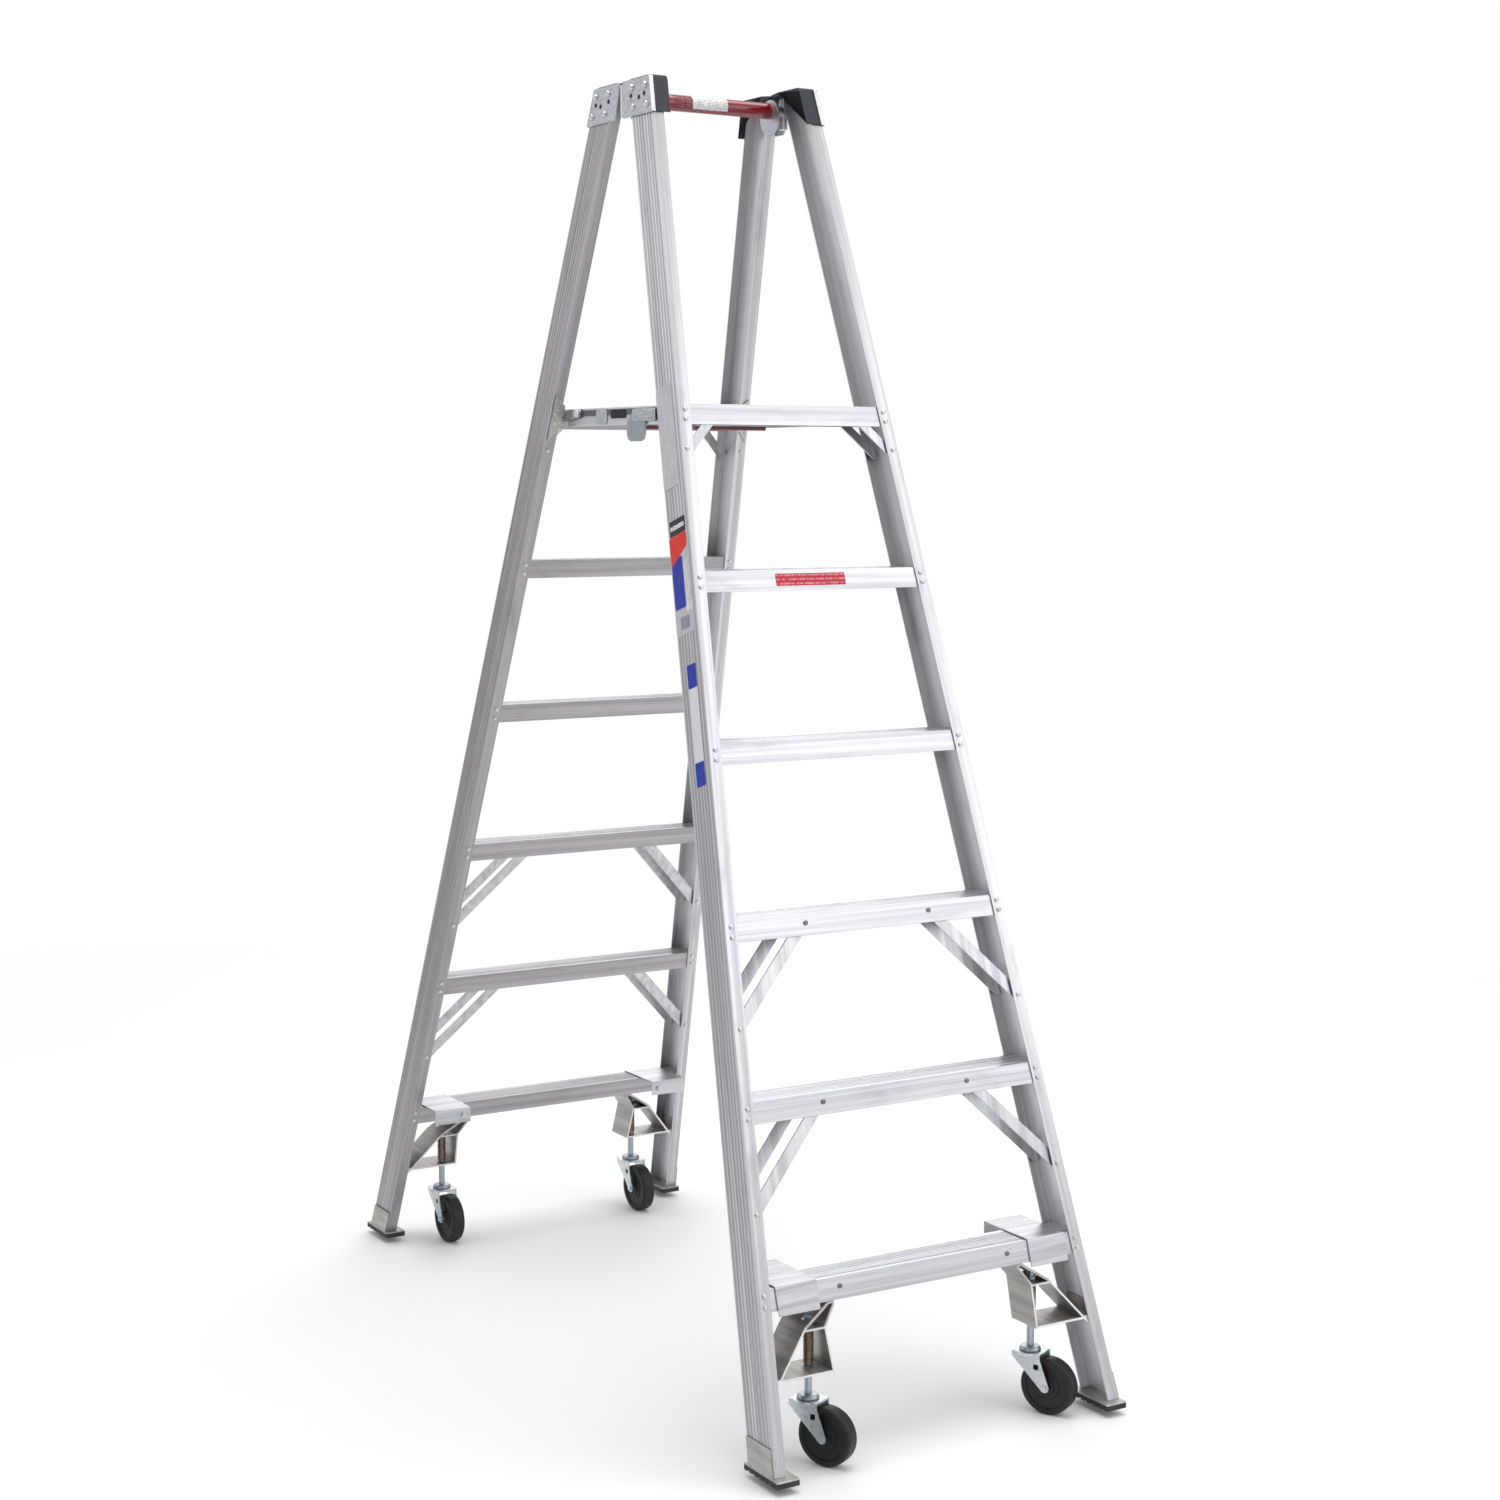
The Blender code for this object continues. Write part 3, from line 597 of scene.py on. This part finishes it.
coverBolt = {"radius": 0.0058, "height": 0.0042, "sides": 16, "across": 0.2340, "level": 0.2930}
boltHead = rivetHead(coverBolt)
for name, side, end in corners:
    low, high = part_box(name + "_step_cover")
    nearFace = low.y if end > 0 else high.y
    point = Vector((side * coverBolt["across"], nearFace, coverBolt["level"]))
    bolt = copyAt(boltHead, facing(point, (0, -end, 0), side))
    finish(bolt, name + "_cover_bolt", finishes["zinc"], frameOf(end), "zinc", 50)
bpy.data.objects.remove(boltHead)
print("rivets and screws done")


# Top: plate rivets and holes, the holes dark discs painted as shadow, the hand tube

plateRivets = {"radius": 0.0060, "height": 0.0034, "sides": 14}
plateHoles = {"radius": 0.00425, "height": 0.0006, "sides": 14, "foot": -0.0001, "rim": 0.00085,
              "depth": 0.0004}
# distance from the middle plane and height of each
plateSpots = {"rivets": [(0.0455, 2.3295), (0.0945, 2.3290), (0.0545, 2.2938), (0.1050, 2.2935)],
              "holes": [(0.0430, 2.3150), (0.0930, 2.3140), (0.0740, 2.3095)]}
plateProud = 0.0039


def plateCopies(piece, side, end, spots):
    outward = Vector((side, 0, flareIn)).normalized()
    return [copyAt(piece, facing((side * (outerX(z) + plateProud), end * along, z), outward))
            for along, z in spots]


bigRivet = rivetHead(plateRivets)
socket = standingDisc(plateHoles["sides"], plateHoles["radius"], plateHoles["height"], plateHoles["foot"])
editFaces(socket, lambda face: face.normal.z > 0.9)
bpy.ops.mesh.inset(thickness=plateHoles["rim"], depth=-plateHoles["depth"])
bpy.ops.object.mode_set(mode="OBJECT")
for name, side, end in corners:
    copies = plateCopies(bigRivet, side, end, plateSpots["rivets"])
    finish(joined(copies), name + "_plate_rivets", finishes["rivet"], frameOf(end), "steel", 50)
    # the holes are dark discs standing for the shadow inside them
    copies = plateCopies(socket, side, end, plateSpots["holes"])
    finish(joined(copies), name + "_plate_holes", finishes["hole"], frameOf(end), "steel", 50)
bpy.data.objects.remove(bigRivet)
bpy.data.objects.remove(socket)

lipShape = {"wide": 0.0080, "low": 2.2790, "high": 2.3450, "sheet": 0.0009, "proud": 0.0036,
            "gap": 0.0002}
seamShape = {"radius": 0.0085, "low": 2.2830, "high": 2.3400, "proud": 0.0012}
for name, side, end in corners:
    # painted highlight: the edge of the plate folded round the corner, in a brighter steel than the plate
    z = (lipShape["low"] + lipShape["high"]) / 2
    lip = plainSheet((lipShape["wide"], lipShape["high"] - lipShape["low"]))
    applyModifier(lip, "SOLIDIFY", thickness=lipShape["sheet"], offset=1)
    applyModifier(lip, "BEVEL", width=0.0003, segments=2, limit_method="ANGLE")
    capLow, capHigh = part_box(name + "_cap")
    face = max(abs(capLow.y), abs(capHigh.y)) - leanBack * (z - capLow.z)
    inner = outerX(z) + lipShape["proud"] - lipShape["wide"] / 2
    turn = Matrix((Vector((-end, 0, 0)), Vector((-side * flareIn, -end * leanBack, 1)),
                   Vector((0, end, leanBack)).normalized())).transposed().to_4x4()
    lip.data.transform(Matrix.Translation((side * inner, end * (face + lipShape["gap"]), z)) @ turn)
    finish(lip, name + "_plate_lip", finishes["seam"], frameOf(end), "steel", 40, True)
for sideName, side in sides.items():
    # rolled edge seen in the gap between the two plates, in the brighter steel as a painted highlight
    bpy.ops.mesh.primitive_cylinder_add(vertices=20, radius=seamShape["radius"],
                                        depth=seamShape["high"] - seamShape["low"])
    seam = bpy.context.object
    applyModifier(seam, "BEVEL", width=0.0015, segments=2, limit_method="ANGLE")
    z = (seamShape["high"] + seamShape["low"]) / 2
    seam.location = (side * (outerX(z) - seamShape["radius"] + seamShape["proud"]), 0, z)
    finish(seam, sideName + "_hinge_seam", finishes["seam"], "front_frame", "steel", 40, True)

tubeShape = {"reach": 0.1386, "radius": 0.015, "ease": 0.0006}
tubeBody = frame["nodes"]["top_handle_tube"]["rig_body"]
tube = looseCopy("top_handle_tube")
for side in sides.values():
    keptBelow(tube, (side * tubeShape["reach"], 0, 0), (side, 0, 0))
finish(tube, "hand_tube", finishes["red"], tubeBody, "red", 40)
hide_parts("top_handle_tube")
for sideName, side in sides.items():
    knuckle = looseCopy("top_handle_tube")
    keptBelow(knuckle, (side * tubeShape["reach"], 0, 0), (-side, 0, 0))
    easedEdges(knuckle, tubeShape["ease"], 40)
    finish(knuckle, sideName + "_knuckle", finishes["plate"], tubeBody, "steel", 40, True)


sleeveShape = {"rise": 0.00035, "from": -40, "round": 210}  # degrees, from the front and upward


def sleeve(name, low, high, material):
    # Film wrapped part of the way round the hand tube
    rise = sleeveShape["rise"]
    height = tube.bound_box[0][2] + tubeShape["radius"]
    bpy.ops.mesh.primitive_cylinder_add(vertices=72, radius=tubeShape["radius"] + rise, depth=high - low,
                                        end_fill_type="NOTHING", rotation=(0, math.pi / 2, 0),
                                        location=((low + high) / 2, 0, height))
    film = bpy.context.object
    bpy.ops.object.transform_apply(location=True, rotation=True)

    def bare(face):
        turn = math.degrees(math.atan2(face.center.z - height, -face.center.y))
        return (turn - sleeveShape["from"]) % 360 > sleeveShape["round"]
    editFaces(film, bare)
    bpy.ops.mesh.delete(type="FACE")
    bpy.ops.object.mode_set(mode="OBJECT")
    applyModifier(film, "SOLIDIFY", thickness=rise * 0.9, offset=-1)
    finish(film, name, material, tubeBody, "red", 40)


sleeve("tube_dark_film", -0.0740, -0.0354, finishes["darkFilm"])
sleeve("tube_white_film", -0.0350, 0.0399, finishes["whiteFilm"])
print("top done")


# Feet: pressed shoe and ribbed pad

footShape = {"padTop": 0.0212, "ease": 0.0007}


def cutFoot(node, name, material, slot, keepLow):
    piece = looseCopy(node)
    keptBelow(piece, (0, 0, footShape["padTop"]), (0, 0, 1 if keepLow else -1))
    easedEdges(piece, footShape["ease"])
    return finish(piece, name, material, frame["nodes"][node]["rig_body"], slot, 40, True)


for name, side, end in corners:
    cutFoot(name + "_foot", name + "_shoe", finishes["shoe"], "aluminium", False)
    pad = cutFoot(name + "_foot", name + "_pad", finishes["pad"], "rubber", True)
    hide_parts(name + "_foot")
print("feet done")


# Casters

# thickness and depth of each step in the wheel's face, from the tread inward
casterShape = {"sides": 56, "width": 0.0290, "tyreEase": 0.0060, "forkEase": 0.0006, "rodEase": 0.0005,
               "steps": [(0.0040, -0.0010), (0.0016, -0.0026), (0.0150, -0.0010),
                         (0.0012, 0.0018), (0.0070, 0.0), (0.0010, 0.0022)]}
springShape = {"coil": 0.0079, "wire": 0.0012, "low": 0.1665, "high": 0.2295, "turns": 17}


def casterWheel(name, shape):
    joint = jointsByName[name + "_roll"]
    low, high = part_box(name + "_caster_wheel")
    radius = (high.z - low.z) / 2
    bpy.ops.mesh.primitive_cylinder_add(vertices=shape["sides"], radius=radius, depth=shape["width"])
    wheel = bpy.context.object
    rim = radius * 0.98
    editEdges(wheel, lambda a, b: abs(a.z - b.z) < 0.0001 and a.xy.length > rim and b.xy.length > rim)
    bpy.ops.mesh.bevel(offset=shape["tyreEase"], segments=4, profile=0.55, affect="EDGES")
    bpy.ops.object.mode_set(mode="OBJECT")
    editFaces(wheel, lambda face: len(face.vertices) > 8)
    for thickness, depth in shape["steps"]:
        bpy.ops.mesh.inset(thickness=thickness, depth=depth)
    bpy.ops.object.mode_set(mode="OBJECT")
    wheel.matrix_world = facing(Vector(joint["pos_m"]), joint["axis"])
    finish(wheel, name + "_wheel_turned", finishes["tyre"], name + "_wheel", "rubber", 30)
    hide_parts(name + "_caster_wheel")


def casterSpring(name, end, shape):
    # Coil between the bracket's two guide plates
    centre = Vector(jointsByName[name + "_swivel"]["pos_m"])
    bpy.ops.mesh.primitive_circle_add(vertices=8, radius=shape["wire"], location=(shape["coil"], 0, 0),
                                      rotation=(math.pi / 2, 0, 0), fill_type="NOTHING")
    coil = bpy.context.object
    pick(coil)
    bpy.ops.object.transform_apply(location=True, rotation=True)
    pitch = (shape["high"] - shape["low"] - 2 * shape["wire"]) / shape["turns"]
    applyModifier(coil, "SCREW", axis="Z", angle=math.tau, screw_offset=pitch, iterations=shape["turns"],
                  steps=18, render_steps=18, use_merge_vertices=True, merge_threshold=0.00001)
    editFaces(coil, lambda face: True)
    bpy.ops.mesh.fill_holes(sides=0)
    bpy.ops.mesh.select_all(action="SELECT")
    bpy.ops.mesh.normals_make_consistent(inside=False)
    bpy.ops.object.mode_set(mode="OBJECT")
    coil.location = (centre.x, centre.y, shape["low"] + shape["wire"])
    finish(coil, name + "_spring", finishes["spring"], frameOf(end), "zinc", 60)


for name, side, end in corners:
    casterWheel(name, casterShape)
    softened(name + "_caster_fork", finishes["zinc"], "zinc", casterShape["forkEase"])
    softened(name + "_caster_spindle", finishes["rod"], "zinc", casterShape["rodEase"])
    casterSpring(name, end, springShape)
print("casters done")


# Printed films on the left rail and a tread

filmSheet = {"thick": 0.00012, "corner": 0.09}
flagCut = {"across": -0.5, "along": -0.48, "normal": (0.43, -0.90, 0)}
# distance in from the rail's front, height, size across and along, rise above the rail
filmShapes = {
    "gray_film": ((0.0500, 1.6985), (0.054, 0.186), 0.00015, "grayFilm"),
    "sticker_base": ((0.0450, 1.4560), (0.060, 0.206), 0.00015, "baseFilm"),
    "sticker_head": ((0.0425, 1.5430), (0.054, 0.028), 0.00030, "inkFilm"),
    "sticker_head_band": ((0.0425, 1.5430), (0.046, 0.008), 0.00045, "whiteFilm"),
    "sticker_flag": ((0.0445, 1.5030), (0.058, 0.054), 0.00045, "redFilm"),
    "sticker_block": ((0.0545, 1.4450), (0.037, 0.092), 0.00030, "blueFilm"),
    "sticker_strip": ((0.0240, 1.4430), (0.017, 0.090), 0.00030, "whiteFilm"),
    "sticker_patch": ((0.0430, 1.3790), (0.030, 0.022), 0.00030, "codeFilm"),
    "long_film": ((0.0370, 1.2060), (0.030, 0.206), 0.00015, "whitePlain"),
    "long_film_top": ((0.0370, 1.2880), (0.030, 0.042), 0.00030, "blueFilm"),
    "long_film_foot": ((0.0370, 1.1240), (0.030, 0.042), 0.00030, "blueFilm"),
}


def railFilm(name, spot, size, rise, material):
    # Thin film on the outside of the front left rail, its corners rounded
    film = plainSheet(size)
    if name == "sticker_flag":
        cutPoint = (size[0] * flagCut["across"], size[1] * flagCut["along"], 0)
        keptBelow(film, cutPoint, flagCut["normal"])
    applyModifier(film, "BEVEL", affect="VERTICES", width=min(size) * filmSheet["corner"], segments=3)
    applyModifier(film, "SOLIDIFY", thickness=filmSheet["thick"], offset=-1)
    inward, z = spot
    along = Vector((flareIn, leanBack, 1.0)).normalized()
    outward = Vector((-1, 0, flareIn)).normalized()
    across = along.cross(outward).normalized()
    turn = Matrix((across, along, outward)).transposed().to_4x4()
    film.matrix_world = Matrix.Translation((-outerX(z) - rise, -(outerY(z) - inward), z)) @ turn
    finish(film, name, material, "front_frame", "plastic", 30)


for label, (spot, size, rise, paint) in filmShapes.items():
    railFilm(label, spot, size, rise, finishes[paint])

treadFilm = {"centre": (-0.005, 1.4495), "size": (0.146, 0.0225), "corner": 0.0015, "rise": 0.0002}
x, z = treadFilm["centre"]
film = plainSheet(treadFilm["size"])
applyModifier(film, "BEVEL", affect="VERTICES", width=treadFilm["corner"], segments=3)
applyModifier(film, "SOLIDIFY", thickness=filmSheet["thick"], offset=-1)
film.matrix_world = (Matrix.Translation((x, -(outerY(z) - skirt["behindRail"]) - treadFilm["rise"], z))
                     @ Matrix.Rotation(math.pi / 2 - math.atan(leanBack), 4, "X"))
finish(film, "tread_film", finishes["stripFilm"], "front_frame", "plastic", 30)
print("films done")


# Small braces under the platform bars

smallBrace = {"drop": 0.052, "run": 0.052, "width": 0.017, "sheet": 0.0028, "overhang": 0.014,
              "belowTop": 0.022, "footInset": 0.0110, "corner": 0.005, "ease": 0.0005,
              "outer": 0.0060, "inner": 0.0120}


def strap(side, end, offset, shape):
    # One flat strap from the bar's skirt down to the rail
    top = stepTops[5] - shape["belowTop"]
    foot = stepTops[5] - skirt["height"] - shape["drop"]
    footX = outerX(foot) - shape["footInset"]
    rise = top - foot
    run = shape["run"] * rise / (rise - 0.012)
    length = math.hypot(run, rise)
    piece = plainSheet((length + shape["overhang"], shape["width"]))
    applyModifier(piece, "BEVEL", affect="VERTICES", width=shape["corner"], segments=4)
    applyModifier(piece, "SOLIDIFY", thickness=shape["sheet"], offset=0)
    applyModifier(piece, "BEVEL", width=shape["ease"], segments=2, limit_method="ANGLE")
    y = end * (outerY((top + foot) / 2) - offset)
    middle = Vector((side * (footX - run / 2), y, (top + foot) / 2))
    stand = Matrix.Rotation(math.pi / 2 + end * math.atan(leanBack), 4, "X")
    slant = Matrix.Rotation(-side * math.atan2(rise, run), 4, "Z")
    piece.data.transform(Matrix.Translation(middle) @ stand @ slant)
    return piece


for name, side, end in corners:
    pair = [strap(side, end, smallBrace["outer"], smallBrace)]
    if end < 0:  # the rear frame has only the outer strap
        pair.append(strap(side, end, railShape["depth"] - smallBrace["inner"], smallBrace))
    finish(joined(pair), name + "_small_brace", finishes["brace"], frameOf(end), "aluminium", 40, True)
print("small braces done")


# Platform: rear brackets with their bolts, and the latch carrier

bracketShape = {"sheet": 0.0026, "high": 1.7900, "low": 1.6600, "inside": 0.1925, "waist": 0.0175,
                "railInset": 0.0035, "upperSlope": 0.9, "lowerSlope": 1.25, "corner": 0.0025,
                "ease": 0.0004, "gap": 0.0003}
tiltPlace = Vector(jointsByName["platform_tilt"]["pos_m"])


def rearBracket(sideName, side):
    # Sheet bracket on the rail's inner flange that runs in to the platform's pivot
    shape = bracketShape
    z = (shape["high"] + shape["low"]) / 2
    outside = outerX(shape["low"]) - shape["railInset"]
    width = outside - shape["inside"]
    across = (outside + shape["inside"]) / 2
    piece = plainSheet((width, shape["high"] - shape["low"]))
    edge = -side * width / 2  # inner edge, toward the pivot
    middle = tiltPlace.z - z
    for turn, slope in ((1, shape["upperSlope"]), (-1, shape["lowerSlope"])):
        keptBelow(piece, (edge, middle + turn * shape["waist"], 0),
                  Vector((-side * slope, turn, 0)).normalized())
    keptBelow(piece, (side * (outerX(z) - shape["railInset"] - across), 0, 0),
              Vector((side, flareIn, 0)).normalized())
    applyModifier(piece, "BEVEL", affect="VERTICES", width=shape["corner"], segments=3)
    applyModifier(piece, "SOLIDIFY", thickness=shape["sheet"], offset=1)
    applyModifier(piece, "BEVEL", width=shape["ease"], segments=2, limit_method="ANGLE")
    centre = Vector((side * across, outerY(z) - railShape["depth"] - shape["gap"], z))
    stand = Matrix.Rotation(math.pi / 2 + math.atan(leanBack), 4, "X")
    piece.data.transform(Matrix.Translation(centre) @ stand)
    finish(piece, sideName + "_pivot_bracket", finishes["gusset"], "rear_frame", "zinc", 40, True)


hexShape = {"radius": 0.0085, "height": 0.0050, "ease": 0.0006, "across": 0.1937, "dish": 0.0008,
            "turn": 0.3}


def hexHead(shape):
    made = standingDisc(6, shape["radius"], shape["height"])
    applyModifier(made, "BEVEL", width=shape["ease"], segments=2, limit_method="ANGLE")
    editFaces(made, lambda face: face.normal.z > 0.99)
    bpy.ops.mesh.inset(thickness=shape["radius"] * 0.35, depth=0)
    bpy.ops.mesh.inset(thickness=shape["radius"] * 0.1, depth=-shape["dish"])
    bpy.ops.object.mode_set(mode="OBJECT")
    return made


def flatPlate(size, corner, sheet, ease):
    # Rounded flat plate lying in X and Y
    made = plainSheet(size)
    applyModifier(made, "BEVEL", affect="VERTICES", width=corner, segments=4)
    applyModifier(made, "SOLIDIFY", thickness=sheet, offset=1)
    applyModifier(made, "BEVEL", width=ease, segments=2, limit_method="ANGLE")
    return made


deckLeft = -0.1880
carrierRim = {"thickness": 0.0045, "step": 0.0012, "rise": 0.0010}
upright = Matrix.Rotation(-math.pi / 2, 4, "Y") @ Matrix.Rotation(math.pi / 2, 4, "Z")
# middle, size, rise, sheet, material and slot of each plate on the platform's left side
sidePlates = {
    # the dark side band and latch window sheets are painted shade, along the deck's upper side and inside
    # the latch window
    "side_shade_band": ((0.0000, 1.7480), (0.3500, 0.0115), 0.0000, 0.0003, "bandShade", "plastic"),
    "latch_window_shade": ((-0.004, 1.7445), (0.062, 0.0160), 0.0000, 0.0004, "hole", "plastic"),
    "latch_carrier": ((-0.1090, 1.7410), (0.0860, 0.0230), 0.0040, 0.0020, "plate", "zinc"),
    "latch_keeper": ((0.0620, 1.7400), (0.0440, 0.0270), 0.0000, 0.0016, "plate", "zinc"),
}
for label, (middle, size, rise, sheet, paint, slot) in sidePlates.items():
    plate = flatPlate(size, min(size) * 0.25, sheet, sheet * 0.25)
    if label == "latch_carrier":
        editFaces(plate, lambda face: face.normal.z > 0.99 and face.area > 0.0004)
        bpy.ops.mesh.inset(thickness=carrierRim["thickness"], depth=0)
        bpy.ops.mesh.inset(thickness=carrierRim["step"], depth=carrierRim["rise"])
        bpy.ops.object.mode_set(mode="OBJECT")
    plate.data.transform(Matrix.Translation((deckLeft - rise, *middle)) @ upright)
    finish(plate, label, finishes[paint], "platform", slot, 40, True)

for sideName, side in sides.items():
    rearBracket(sideName, side)
    bolt = hexHead(hexShape)
    spot = (side * hexShape["across"], tiltPlace.y, tiltPlace.z)
    bolt.matrix_world = facing(spot, (side, 0, 0), hexShape["turn"])
    finish(bolt, sideName + "_pivot_bolt", finishes["zinc"], "rear_frame", "zinc", 35, True)
print("platform fittings done")


# The latch, and the release bar, which keeps its CAD mesh

softened("platform_latch", finishes["latch"], "zinc", edgeEase["latch"])
redBar = frame["nodes"]["latch_release_bar"]
redBar.data.materials.clear()
redBar.data.materials.append(finishes["bar"])


# Studio: pale floor, soft panels of light, camera

studio = {"floor": 14.0, "surround": 0.60, "below": 0.78, "backdrop": 1.0, "fadeStart": 2.2, "fadeEnd": 5.0}
# place, aim, size across and high, brightness
panels = {
    "front_right_panel": ((3.2, -4.4, 3.4), (0, 0, 1.1), (4.5, 3.6), 1.42),
    "rear_right_panel": ((3.6, 5.0, 2.9), (0, 0, 1.0), (4.2, 2.6), 1.9),
    "top_panel": ((0.2, -0.2, 5.6), (0, 0, 1.0), (4.4, 4.4), 3.0),
    "rear_left_panel": ((-4.0, 4.8, 3.2), (0, 0, 1.6), (3.2, 2.0), 1.0),
}
bpy.ops.mesh.primitive_plane_add(size=studio["floor"], location=(0, 0, -0.0002))
floor = bpy.context.object
floor.name = "floor"
ground = Finish("floor_paint", Roughness=0.75)
spread = ground.noise(ground.place(), 0.6, 2.0, 0.5).between(0.3, 0.7)
ground.feed("Base Color", ground.mixColor(spread, (0.93, 0.93, 0.93), (0.92, 0.92, 0.92)))
away = ground.node("ShaderNodeVectorMath", {"operation": "LENGTH"}, {0: ground.place()}, "Value")
ground.feed("Alpha", 1 - away.between(studio["fadeStart"], studio["fadeEnd"]))
floor.data.materials.append(ground.material)

for label, (place, aim, size, brightness) in panels.items():
    bpy.ops.object.light_add(type="AREA", location=place)
    lamp = bpy.context.object
    lamp.name = label
    lamp.data.shape = "RECTANGLE"
    lamp.data.size, lamp.data.size_y = size
    lamp.data.energy = brightness * size[0] * size[1] * math.pi
    lamp.rotation_euler = (Vector(aim) - Vector(place)).to_track_quat("-Z", "Y").to_euler()

world = bpy.data.worlds.new("studio_air")
world.use_nodes = True
air = world.node_tree
path = air.nodes.new("ShaderNodeLightPath")
levels = air.nodes.new("ShaderNodeMapRange")
levels.inputs["To Max"].default_value = studio["backdrop"]
heading = air.nodes.new("ShaderNodeTexCoord")
parts = air.nodes.new("ShaderNodeSeparateXYZ")
horizon = air.nodes.new("ShaderNodeMapRange")
for label, value in (("From Min", -0.03), ("From Max", 0.03),
                     ("To Min", studio["below"]), ("To Max", studio["surround"])):
    horizon.inputs[label].default_value = value
air.links.new(heading.outputs["Generated"], parts.inputs["Vector"])
air.links.new(parts.outputs["Z"], horizon.inputs["Value"])
air.links.new(horizon.outputs["Result"], levels.inputs["To Min"])
air.links.new(path.outputs["Is Camera Ray"], levels.inputs["Value"])
air.links.new(levels.outputs["Result"], air.nodes["Background"].inputs["Strength"])
air.nodes["Background"].inputs["Color"].default_value = (1.0, 1.0, 1.0, 1.0)
bpy.context.scene.world = world
bpy.context.scene.view_settings.view_transform = "Standard"

eye = {"place": (-2.43754, -4.20530, 1.63165), "yaw": 31.093, "pitch": -6.130, "roll": -0.077,
       "lens": 61.34}
bpy.ops.object.camera_add()
camera = bpy.context.object
camera.data.sensor_width = 36.0
camera.data.lens = eye["lens"]
camera.matrix_world = (Matrix.Translation(eye["place"])
                       @ Matrix.Rotation(math.radians(-eye["yaw"]), 4, "Z")
                       @ Matrix.Rotation(math.radians(90 + eye["pitch"]), 4, "X")
                       @ Matrix.Rotation(math.radians(-eye["roll"]), 4, "Z"))
bpy.context.scene.camera = camera
print("studio ready")
